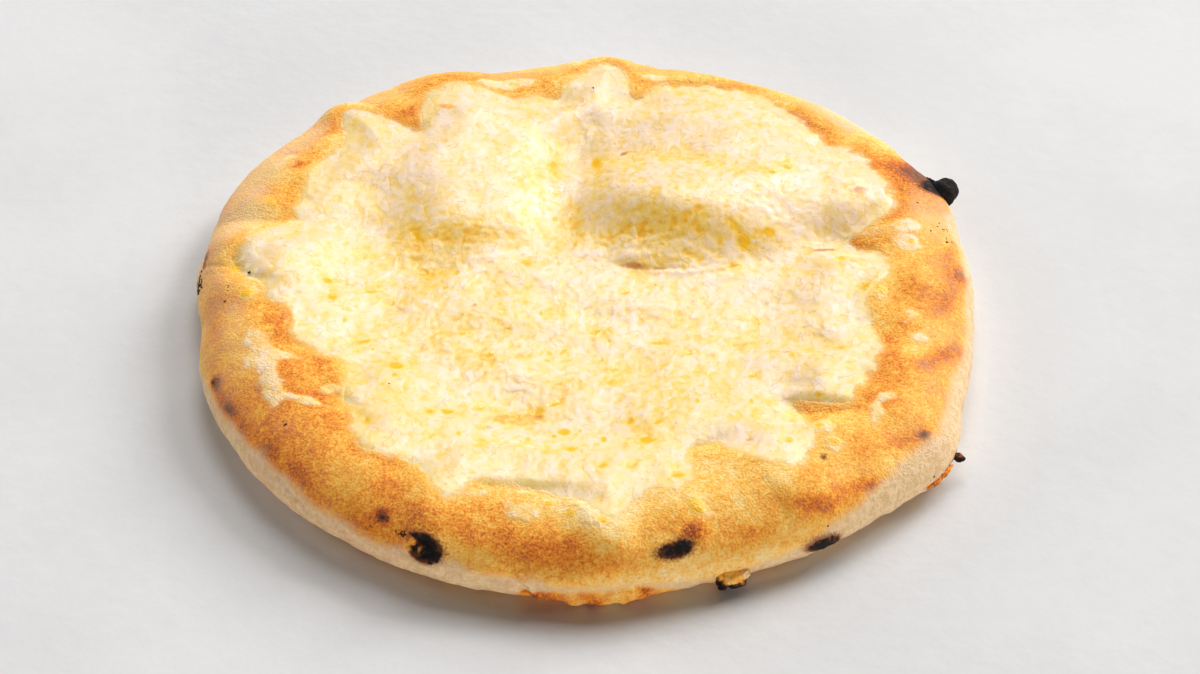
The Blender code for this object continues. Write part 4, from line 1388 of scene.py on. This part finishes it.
    def flouring(self, points: Array, direction: Array, drop: Array) -> Array:
        """How much pale flour shows.

        Args:
            points: rows of x, y and z.
            direction: each point's direction.
            drop: each point's drop.

        Returns:
            All of the side below a line that wanders, less the toasted lower side, light dust on the
            band above it, and dusty places underneath.
        """
        start = self.level(self.flour_start, direction) + 7 * Lumps(81, 0.012, 3).at(points)
        side = smooth_step(drop, start - 14, start + 18)
        side = np.maximum(side, self.level(self.dusty, direction) * smooth_step(drop, -9, 30))
        patchy = 1.1 + 0.5 * Lumps(85, 0.004, 2).at(points)
        side *= 1 - 0.9 * np.clip(self.footing(direction, drop) * patchy, 0, 1)
        base = 0.20 + 0.5 * smooth_step(Lumps(91, 0.022, 3).at(points), -0.2, 0.7)
        return side + self.underneath(drop) * (base - side)

    def covering(self, points: Array, drop: Array, inwards: Array) -> Array:
        """How well cheese covers the crust, past 0 where it does.

        Args:
            points: rows of x, y and z.
            drop: each point's drop.
            inwards: how far each lies inside the cheese's edge, in metres.

        Returns:
            inwards over the cover's width, with unevenness, from -1.5 to 1, or an island's
            1.5 * strength - 0.95, with unevenness and at most 0.34, the larger; less 1.6 times the
            thinness. There is no cheese below the belly.
        """
        near = np.clip(inwards / self.cover_width + 0.26 * Lumps(121, 0.0062, 3).at(points), NO_CHEESE, 1.0)
        island = 1.5 * self.form.on_top(points, self.films) - 0.95 + 0.40 * Lumps(133, 0.0034, 3).at(points)
        cover = np.maximum(near, np.minimum(island, 0.34)) - 1.6 * self.form.on_top(points, self.thin)
        return np.where(drop < BELLY, cover, NO_CHEESE)

    def values(self, points: Array, direction: Array, drop: Array) -> dict[str, Array]:
        """All that the finishes read.

        Args:
            points: rows of x, y and z.
            direction: each point's direction.
            drop: each point's drop.

        Returns:
            The named values. Cheese and its drops are on the top only.
        """
        layer, top = self.layer, drop < BELLY
        inwards = layer.inwards(points[:, 0], points[:, 1])
        on_cheese = self.form.on_top(points, layer.spots, 3) * smooth_step(inwards, 0.0005, 0.0025)
        spots = np.maximum(on_cheese, self.form.on_top(points, self.drops, 3))
        return {
            "toast": self.toasting(points, direction, drop),
            "flour": self.flouring(points, direction, drop),
            "char": self.form.on_rim(points, self.charred, 3),
            "cover": self.covering(points, drop, inwards),
            "yellow": layer.cheese_yellow_and_shade(points),
            "butterfat": np.where(top, spots, 0),
            "toasted": np.where(top, self.form.on_top(points, layer.toasted_places), 0),
        }


# ---- The pieces that are built -----------------------------------------------------------------


@dataclass
class Lepinja:
    """The baked bread: its crust, shoulder, floury side, foot and base, on rings round the middle."""

    form: LepinjaForm
    skin: SkinMap
    columns: int = 880
    hidden_shares: tuple[float, ...] = (0.10, 0.30, 0.52, 0.72, 0.86, 0.95)
    hidden_depth: float = 0.0040
    crust_rows: int = 36
    shoulder_rows: int = 42
    foot_rows: int = 16
    base_shares: tuple[float, ...] = (0.985, 0.95, 0.87, 0.72, 0.50, 0.25)
    crust_overlap: float = 0.0035
    # The direction about which columns are closest, how far that goes in degrees, and how much closer.
    front: Swells = ((268.0, 62.0, 0.7),)
    base_drop: float = 200.0
    # What stands out of the rim or is sunk in it: height in metres, how much the skin's lumps change
    # it, firmness, and where.
    features: tuple[tuple[float, float, float, Ovals], ...] = (
        # The rim, crater and crumbs of the burst blister, and those of the oval one.
        (0.0010, 0.30, 5, ((248.2, 61, 5.5, 3.9, 8, 1.0),)),
        (-0.0019, 0.50, 5, ((248.2, 61, 4.3, 2.9, 8, 1.0),)),
        (0.0012, 0.0, 3, ((246.7, 58, 1.3, 1.0, 30, 1.0), (247.9, 63, 1.0, 1.5, 0, 1.0))),
        (0.0006, 0.50, 4, ((282.2, 56, 5.0, 2.9, 4, 1.0),)),
        (-0.0005, 0.60, 3, ((282.2, 57, 3.2, 1.5, 4, 1.0),)),
        # The low blister, and creases down the floury side.
        (0.0013, 0.35, 4, ((303.0, 98, 6.0, 2.8, 12, 1.0),)),
        (-0.0006, 0.0, 2, (
            (228, 78, 14, 0.9, 14, 1.0), (243, 98, 18, 0.9, 12, 1.0), (176, 40, 0.8, 9, 28, 0.8),
        )),
        # The lip at the front, and the ridge and the hollow of the fold beside it.
        (0.0010, 0.50, 6, ((272, 126, 16, 3.6, 0, 1.0),)),
        (0.0009, 0.0, 2, (
            (259.0, 70, 5.4, 0.8, 13, 0.8), (262.2, 81, 2.6, 0.9, 36, 1.0), (263.5, 112, 4.6, 1.0, 74, 1.0),
        )),
        (-0.0011, 0.0, 3, ((259.8, 86, 4.8, 1.7, 20, 1.0), (262.0, 112, 4.0, 1.7, 62, 0.9))),
        # The swelling that the knob grows from.
        (0.0024, 0.0, 3, ((20.5, 66, 13.0, 9.0, 0, 1.0),)),
    )

    def directions(self) -> Array:
        """Directions of the columns, closest together at the front.

        Returns:
            Degrees at equal steps of the running total of 1 + 0.7 exp(-(offset / 62)^2).
        """
        fine = np.arange(0, 360, 0.05)
        total = np.concatenate([[0], np.cumsum(swelled(1.0, self.front, fine))])
        return np.interp(np.arange(self.columns) / self.columns * total[-1], total, np.append(fine, 360))

    def rows(self, direction: Array) -> tuple[Array, Array]:
        """The bread's rings before its fine relief.

        Args:
            direction: the columns' directions.

        Returns:
            Points by row and column, and each row's drop by column. The drop is below 0 inside the crest.
        """
        angle = np.radians(direction)
        start, crest = self.form.cheese_outline(direction) - self.crust_overlap, self.form.crest(direction)
        rows, drops = [], []
        inner = [(start * share, self.hidden_depth * min(1, 8 * (1 - share))) for share in self.hidden_shares]
        bare = [start + (crest - start) * step / self.crust_rows for step in range(self.crust_rows + 1)]
        for radius, depth in inner + [(radius, 0.0) for radius in bare]:
            x, y = radius * np.cos(angle), radius * np.sin(angle)
            rows.append(np.stack([x, y, self.form.top(x, y) - depth], axis=1))
            drops.append((radius - crest) / MILLIMETRE)
        sides = [BELLY * step / self.shoulder_rows for step in range(1, self.shoulder_rows + 1)]
        sides += [BELLY + BELLY * step / self.foot_rows for step in range(1, self.foot_rows + 1)]
        for drop in sides:
            rows.append(self.form.rim(direction, np.full(len(direction), drop)))
            drops.append(np.full(len(direction), drop))
        foot = rows[-1]
        for share in self.base_shares:
            rows.append(foot * (share, share, 0))
            drops.append(np.full(len(direction), self.base_drop))
        return np.stack(rows), np.stack(drops)

    def relief(self, points: Array, drop: Array, inwards: Array, values: dict[str, Array]) -> Array:
        """How far the skin stands out from the smooth form.

        Args:
            points: rows of x, y and z.
            drop: each point's drop.
            inwards: how far each lies inside the cheese's edge.
            values: what the finish reads there.

        Returns:
            Low lumps of the skin, stronger on the floury side, plus each feature's height * its ovals *
            (1 + its unevenness * lumps), plus the thickness of islands of cheese and drops. It ends
            under the cheese and on the base.
        """
        rough = Lumps(31, 0.0024, 3).at(points)
        height = 0.00018 * Lumps(21, 0.0090, 2).at(points) + 0.00008 * rough
        floury = smooth_step(drop, 60, 85) * (1 - smooth_step(drop, 170, 185))
        height += floury * (0.00026 * Lumps(41, 0.0050, 3).at(points * (1, 1, 1.6)) + 0.00008 * rough)
        for rise, unevenness, firmness, ovals in self.features:
            height += rise * self.form.on_rim(points, ovals, firmness) * (1 + unevenness * rough)
        height += 0.00032 * smooth_step(values["cover"], -0.1, 0.5)
        height += 0.00020 * np.minimum(values["butterfat"], 1)
        height *= 1 - smooth_step(inwards, -0.0005, 0.0005)
        return height * (1 - smooth_step(drop, 165, 185))

    def build(self, material: bpy.types.Material) -> bpy.types.Object:
        """Makes the bread.

        Args:
            material: the baked crust.

        Returns:
            The piece that stands for the node `bread`.
        """
        direction = self.directions()
        grid, drops = self.rows(direction)
        ahead = np.roll(grid, -1, axis=1) - np.roll(grid, 1, axis=1)
        outwards = unit(np.cross(np.gradient(grid, axis=0), ahead)).reshape(-1, 3)
        points, drop = grid.reshape(-1, 3), drops.ravel()
        values = self.skin.values(points, np.tile(direction, len(grid)), drop)
        inwards = np.where(drop < BELLY, self.skin.layer.inwards(points[:, 0], points[:, 1]), -1)
        moved = points + outwards * self.relief(points, drop, inwards, values)[:, None]
        moved[:, 2] = np.maximum(moved[:, 2], 0)
        middles = np.array([[0, 0, self.form.middle_height() - self.hidden_depth], [0, 0, 0]])
        last = len(moved)
        quads = ring_grid(len(grid), self.columns)
        first_ring = np.arange(self.columns)
        last_ring = last - self.columns + first_ring
        triangles = np.concatenate([fan(last, first_ring, True), fan(last + 1, last_ring, False)])
        values = {name: np.concatenate([value, value[[0, -1]]]) for name, value in values.items()}
        surface = Surface(np.concatenate([moved, middles]), quads, triangles, values)
        return surface.to_object("lepinja_bread", material)


@dataclass
class MeltedCheese:
    """The layer of melted cheese as one closed skin."""

    layer: CheeseLayer
    skin: SkinMap
    cells: int = 292
    under_shares: tuple[float, ...] = (0.994, 0.97, 0.88, 0.76, 0.63, 0.50, 0.36, 0.22, 0.10)
    under_depth: float = 0.0020
    # How many rings under the edge are only a little sunk in the crust, and how deep.
    edge_rings: int = 2
    edge_depth: float = 0.0004

    def disc(self) -> tuple[Array, Array]:
        """Evenly spread places over a disc.

        Returns:
            Radius, 0 to 1, and angle, by row and column: rings of a square that are laid on circles.
        """
        step = np.linspace(-1, 1, self.cells + 1)
        down, along = np.meshgrid(step, step, indexing="ij")
        wide = np.abs(along) > np.abs(down)
        radius = np.where(wide, along, down)
        safe = np.where(radius == 0, 1, radius)
        angle = np.where(wide, np.pi / 4 * down / safe, np.pi / 2 - np.pi / 4 * along / safe)
        angle = np.where(radius < 0, angle + np.pi, angle)
        return np.abs(radius), angle

    def build(self, material: bpy.types.Material) -> bpy.types.Object:
        """Makes the cheese.

        Args:
            material: the melted cheese.

        Returns:
            The piece that stands for the node `cheese`: the layer's upper face over a disc laid on its
            edge, and rings that close it underneath, inside the bread.
        """
        share, angle = (part.ravel() for part in self.disc())
        form, mean = self.layer.form, self.layer.form.cheese_radius
        radius = share * (mean + (self.layer.edge(np.degrees(angle) % 360) - mean) * share**3)
        x, y = radius * np.cos(angle), radius * np.sin(angle)
        face = np.stack([x, y, self.layer.top(x, y)], axis=1)
        side = self.cells + 1
        numbers = np.arange(side * side).reshape(side, side)
        quads = np.stack([numbers[:-1, :-1], numbers[:-1, 1:], numbers[1:, 1:], numbers[1:, :-1]], axis=-1)
        border = np.concatenate([numbers[0, :-1], numbers[:-1, -1], numbers[-1, :0:-1], numbers[:0:-1, 0]])
        rings, ring_numbers = [], [border]
        for number, share_in in enumerate(self.under_shares):
            x, y = face[border, 0] * share_in, face[border, 1] * share_in
            depth = self.edge_depth if number < self.edge_rings else self.under_depth
            rings.append(np.stack([x, y, form.top(x, y) - depth], axis=1))
            ring_numbers.append(len(face) + len(border) * number + np.arange(len(border)))
        walls = [
            np.stack([outer, inner, np.roll(inner, -1), np.roll(outer, -1)], axis=1)
            for outer, inner in zip(ring_numbers, ring_numbers[1:])
        ]
        points = np.concatenate([face, *rings, [[0, 0, form.middle_height() - self.under_depth]]])
        triangles = fan(len(points) - 1, ring_numbers[-1], False)
        x, y = points[:, 0], points[:, 1]
        values = self.skin.values(points, direction_of(x, y), self.skin.inside_drop(x, y))
        surface = Surface(points, np.concatenate([quads.reshape(-1, 4), *walls]), triangles, values)
        return surface.to_object("melted_cheese", material)


@dataclass(frozen=True)
class Bit:
    """An uneven lump on the rim: place, size along, out and down in metres, how proud, and its look."""

    direction: float
    drop: float
    size: tuple[float, float, float]
    proud: float
    turn: float = 0.0
    toast: float = 0.45
    flour: float = 0.0
    char: float = 0.0
    # The share of the way down it where its charring starts and is complete.
    char_from: float = -9.0
    char_full: float = -8.0
    roughness: float = 0.07

    def lump(self, form: LepinjaForm, around: int, down: int) -> Surface:
        """The lump's closed surface.

        Args:
            form: the lepinja that it grows from.
            around: how many corners each ring has.
            down: how many rings there are.

        Returns:
            A ball of radius 0.5 * (1 + a low sin(7x + 11y + 5z + direction) + lumps), stretched to the
            bit's size along the rim, outwards and down it, and charred from one height to another.
        """
        polar, azimuth = np.meshgrid(
            np.linspace(0, np.pi, down + 2)[1:-1], np.arange(around) * math.tau / around, indexing="ij"
        )
        flat = np.sin(polar)
        ball = np.stack([flat * np.cos(azimuth), flat * np.sin(azimuth), np.cos(polar)], axis=-1)
        ball = np.concatenate([ball.reshape(-1, 3), [[0, 0, 1], [0, 0, -1]]]) / 2
        phase = 7 * ball[:, 0] + 11 * ball[:, 1] + 5 * ball[:, 2] + self.direction
        swell = 1 + (0.03 + 0.5 * self.roughness) * np.sin(phase)
        swell += self.roughness * Lumps(int(self.direction * 10), 0.20, 3).at(ball)
        place, axes = form.rim_axes(self.direction, self.drop, self.turn)
        points = place + axes[1] * self.proud + (ball * swell[:, None] * self.size) @ axes
        last = around * down
        ring = np.arange(around)
        triangles = np.concatenate([fan(last, ring, True), fan(last + 1, last - around + ring, False)])
        lower = ball[:, 2] + 0.12 * Lumps(5, 0.10, 2).at(ball)
        char = self.char * smooth_step(lower, self.char_from, self.char_full)
        values = bare_skin(len(points), toast=self.toast, flour=self.flour, char=char)
        return Surface(points, ring_grid(down, around), triangles, values)


@dataclass
class RimBits:
    """Burnt and torn bits of the rim: the knob, the brown flake with a pale lump whose colour is a painted
    highlight, the burnt tip and edge, the pale flake.
    """

    form: LepinjaForm
    bits: tuple[Bit, ...] = (
        Bit(22.1, 64, (0.0088, 0.0100, 0.0088), 0.0028, char=1.4, roughness=0.06),
        Bit(23.9, 60, (0.0082, 0.0050, 0.0056), 0.0002, char=1.2, roughness=0.16),
        Bit(289.9, 118, (0.0092, 0.0056, 0.0058), 0.0006, 8, 0.40, 0.0, 0.70, -0.36, -0.02, 0.14),
        Bit(288.6, 126, (0.0032, 0.0040, 0.0034), 0.0012, 8, 0.60, 0.0, 0.70, -0.9, -0.5, 0.16),
        # A pale lump on the brown flake: its pale colour is a painted highlight.
        Bit(291.6, 110, (0.0034, 0.0032, 0.0032), 0.0006, 8, 0.14, 0.6, 0.0),
        Bit(328.4, 104, (0.0026, 0.0038, 0.0025), 0.0012, 0, 0.80, 0.0, 0.72, -0.8, -0.2, 0.12),
        Bit(325.4, 106, (0.0060, 0.0016, 0.0012), 0.0003, 0, 0.60, 0.0, 0.5, -0.5, 0.5, 0.2),
        Bit(322.6, 106, (0.0070, 0.0016, 0.0012), 0.0003, 0, 0.60, 0.0, 0.4, -0.5, 0.5, 0.2),
        Bit(174.0, 92, (0.0160, 0.0030, 0.0076), -0.0004, 0, 0.20, 0.9, 0.0),
    )
    around: int = 44
    down: int = 26

    def build(self, material: bpy.types.Material) -> bpy.types.Object:
        """Makes all bits as one piece of the baked crust."""
        lumps = [bit.lump(self.form, self.around, self.down) for bit in self.bits]
        return Surface.joined(lumps).to_object("rim_bits", material)


@dataclass
class BurntSpecks:
    """Sooty grains baked onto the crust: tiny lumps, scattered in places and thick in one patch."""

    form: LepinjaForm
    seed: int = 515
    around: int = 7
    down: int = 3
    # Specks on the cheese: direction, drop, size, and the cheese's height there, both in millimetres.
    on_cheese: Levels = (
        (162.6, -33, 1, 2.5), (180.4, -3.4, 1.1, 0.6), (105.6, -15, 0.8, 1.9), (106.4, -14, 0.6, 1.9),
        (90.8, -19, 0.8, 2.2), (91.6, -20, 0.7, 2.2), (88.6, -18, 0.6, 2.2), (197, -31, 0.6, 2.5),
        (222, -22, 0.6, 2.5), (62, -44, 0.6, 2.5), (30, -38, 0.5, 2.5), (19, -12, 0.7, 0.8),
    )
    # Single specks on the crust: direction, drop, and size in millimetres.
    single: Levels = (
        (13.6, 42, 0.9), (12.2, 45, 0.6), (12.6, 49, 0.7), (9, 42, 0.8), (11, 28, 0.6), (18, 22, 0.8),
        (273, 128, 0.7), (275.2, 129, 0.9), (276.2, 128, 0.8), (277, 128, 0.7), (278.6, 127, 0.7),
        (264.6, 138, 1.1), (265.6, 137, 0.6), (218.2, 28, 1.2), (217.4, 27, 0.7), (183.6, 24, 0.5),
        (184.4, 26, 0.8), (185.2, 30, 0.6), (186.4, 34, 0.9), (183.2, 22, 0.5), (304, 74, 0.6),
        (316, 62, 0.5), (322.4, 88, 0.8), (321.6, 90, 0.6), (324.2, 100, 0.6), (326.4, 104, 0.7),
        (28.6, 52, 0.6), (24.9, 40, 0.9), (25.6, 44, 0.7),
    )
    # Patches of specks: direction, drop, spread in direction and in drop, how many, and size.
    patches: tuple[tuple[float, float, float, float, int, float], ...] = (
        (177, 78, 2.2, 9, 46, 0.9), (171, 84, 5, 4, 22, 0.7), (178.6, 62, 1.6, 8, 16, 0.6),
        (201, 60, 2, 7, 16, 0.6), (12.5, 46, 2.4, 9, 12, 0.5), (26, 44, 2.6, 10, 18, 0.6),
        (245, 56, 0.9, 5, 16, 0.45), (284, 46, 3, 7, 8, 0.4),
    )

    def build(self, material: bpy.types.Material) -> bpy.types.Object:
        """Makes all specks as one piece.

        Args:
            material: the baked crust.

        Returns:
            The piece: each speck is a low lump, half sunk, in a seeded place and size.
        """
        draw = np.random.default_rng(self.seed)
        places = [(*speck, 0.0) for speck in self.single] + list(self.on_cheese)
        for direction, drop, along, down, count, size in self.patches:
            for off in draw.normal(0, 0.5, (count, 3)):
                scale = size * (0.75 + 0.5 * abs(off[2]))
                places.append((direction + off[0] * along, drop + off[1] * down, scale, 0.0))
        lumps = []
        for direction, drop, size, height in places:
            wide, tall = size * MILLIMETRE * draw.uniform(0.8, 1.3, 2)
            body = (wide, 0.5 * size * MILLIMETRE, tall)
            bit = Bit(direction, drop, body, height * MILLIMETRE, char=1.0, roughness=0.15)
            lumps.append(bit.lump(self.form, self.around, self.down))
        return Surface.joined(lumps).to_object("burnt_specks", material)


# ---- Floor, light and camera -------------------------------------------------------------------


@dataclass(frozen=True)
class Lamp:
    """A soft square lamp that faces the lepinja."""

    name: str
    direction: float
    elevation: float
    light: float
    colour: Colour = (1.0, 1.0, 1.0)
    distance: float = 9.0
    width: float = 4.0

    def build(self) -> bpy.types.Object:
        """Hangs the lamp, turned to the origin.

        Returns:
            The lamp. Its power is light * pi^2 * distance^2 / sin(elevation), so that a white floor at
            the origin would be as bright as `light`.
        """
        level, raised = math.radians(self.direction), math.radians(self.elevation)
        data = bpy.data.lights.new(self.name, "AREA")
        data.size = self.width
        data.energy = self.light * (math.pi * self.distance) ** 2 / math.sin(raised)
        data.color = self.colour
        lamp = bpy.data.objects.new(self.name, data)
        lamp.location = (
            self.distance * math.cos(raised) * math.cos(level),
            self.distance * math.cos(raised) * math.sin(level),
            self.distance * math.sin(raised),
        )
        lamp.rotation_euler = (math.pi / 2 - raised, 0, level + math.pi / 2)
        bpy.context.scene.collection.objects.link(lamp)
        return lamp


@dataclass(frozen=True)
class Studio:
    """The pale floor, the lamps, the faint surroundings and the camera."""

    floor_half: float = 3.0
    surroundings: float = 0.012
    surroundings_colour: Colour = (1.0, 0.96, 0.92)
    lamps: tuple[Lamp, ...] = (
        Lamp("left lamp", 150, 18, 0.12),
        Lamp("back lamp", 82, 52, 0.46, width=5.0),
        Lamp("key lamp", 44, 32, 0.52),
        Lamp("right lamp", 4, 22, 0.04),
        Lamp("front lamp", 280, 5, 0.042, (1.0, 0.94, 0.86), 9.0, 1.2),
    )
    target: tuple[float, float, float] = (0.0043, -0.0174, 0.010)
    camera_distance: float = 0.812
    camera_elevation: float = 41.0
    lens: float = 80.0
    sensor: float = 36.0

    def lay_floor(self) -> bpy.types.Object:
        """Makes the floor.

        Returns:
            One flat square under the origin.
        """
        half = self.floor_half
        points = np.array([[-half, -half, 0], [half, -half, 0], [half, half, 0], [-half, half, 0]], float)
        none = np.zeros((0, 3), np.int64)
        floor = Surface(points, np.array([[0, 1, 2, 3]]), none).to_object("floor", FloorFinish().material())
        return floor

    def light(self) -> None:
        """Hangs the lamps and sets the surroundings."""
        for lamp in self.lamps:
            lamp.build()
        world = bpy.data.worlds.new("surroundings")
        world.use_nodes = True
        background = world.node_tree.nodes["Background"]
        background.inputs["Color"].default_value = (*self.surroundings_colour, 1)
        background.inputs["Strength"].default_value = self.surroundings
        bpy.context.scene.world = world
        bpy.context.scene.view_settings.view_transform = "Standard"

    def place_camera(self) -> bpy.types.Object:
        """Sets the camera.

        Returns:
            The scene's camera: in front of the lepinja at its elevation and distance from the target,
            looking down at that.
        """
        data = bpy.data.cameras.new("camera")
        data.lens = self.lens
        data.sensor_width = self.sensor
        data.clip_start = 0.01
        camera = bpy.data.objects.new("camera", data)
        raised = math.radians(self.camera_elevation)
        x, y, z = self.target
        camera.location = (
            x,
            y - self.camera_distance * math.cos(raised),
            z + self.camera_distance * math.sin(raised),
        )
        camera.rotation_euler = (math.pi / 2 - raised, 0, 0)
        bpy.context.scene.collection.objects.link(camera)
        bpy.context.scene.camera = camera
        return camera


class Part(Enum):
    """Names of the two material slots: the crust's and the cheese's."""

    CRUST = "baked_crust"
    CHEESE = "melted_cheese"


def settle(piece: bpy.types.Object) -> None:
    """Makes a piece part of the lepinja and reports it.

    Args:
        piece: the piece, which rides on the one body.
    """
    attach(piece, "root")
    LOG.info("%s: %d points, %d faces", piece.name, len(piece.data.vertices), len(piece.data.polygons))


def main() -> None:
    """Builds the studio and the lepinja."""
    logging.basicConfig(level=logging.INFO, format="%(name)s: %(message)s")
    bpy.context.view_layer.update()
    studio = Studio()
    studio.place_camera()
    studio.lay_floor()
    studio.light()
    form = LepinjaForm()
    layer = CheeseLayer(form)
    skin = SkinMap(form, layer)
    crust = BakedCrust().material()
    melted = MeltedCheeseFinish().material()
    bread = Lepinja(form, skin).build(crust)
    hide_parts("bread")
    settle(bread)
    settle(RimBits(form).build(crust))
    settle(BurntSpecks(form).build(crust))
    cheese = MeltedCheese(layer, skin).build(melted)
    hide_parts("cheese")
    settle(cheese)


if __name__ == "__main__":
    main()
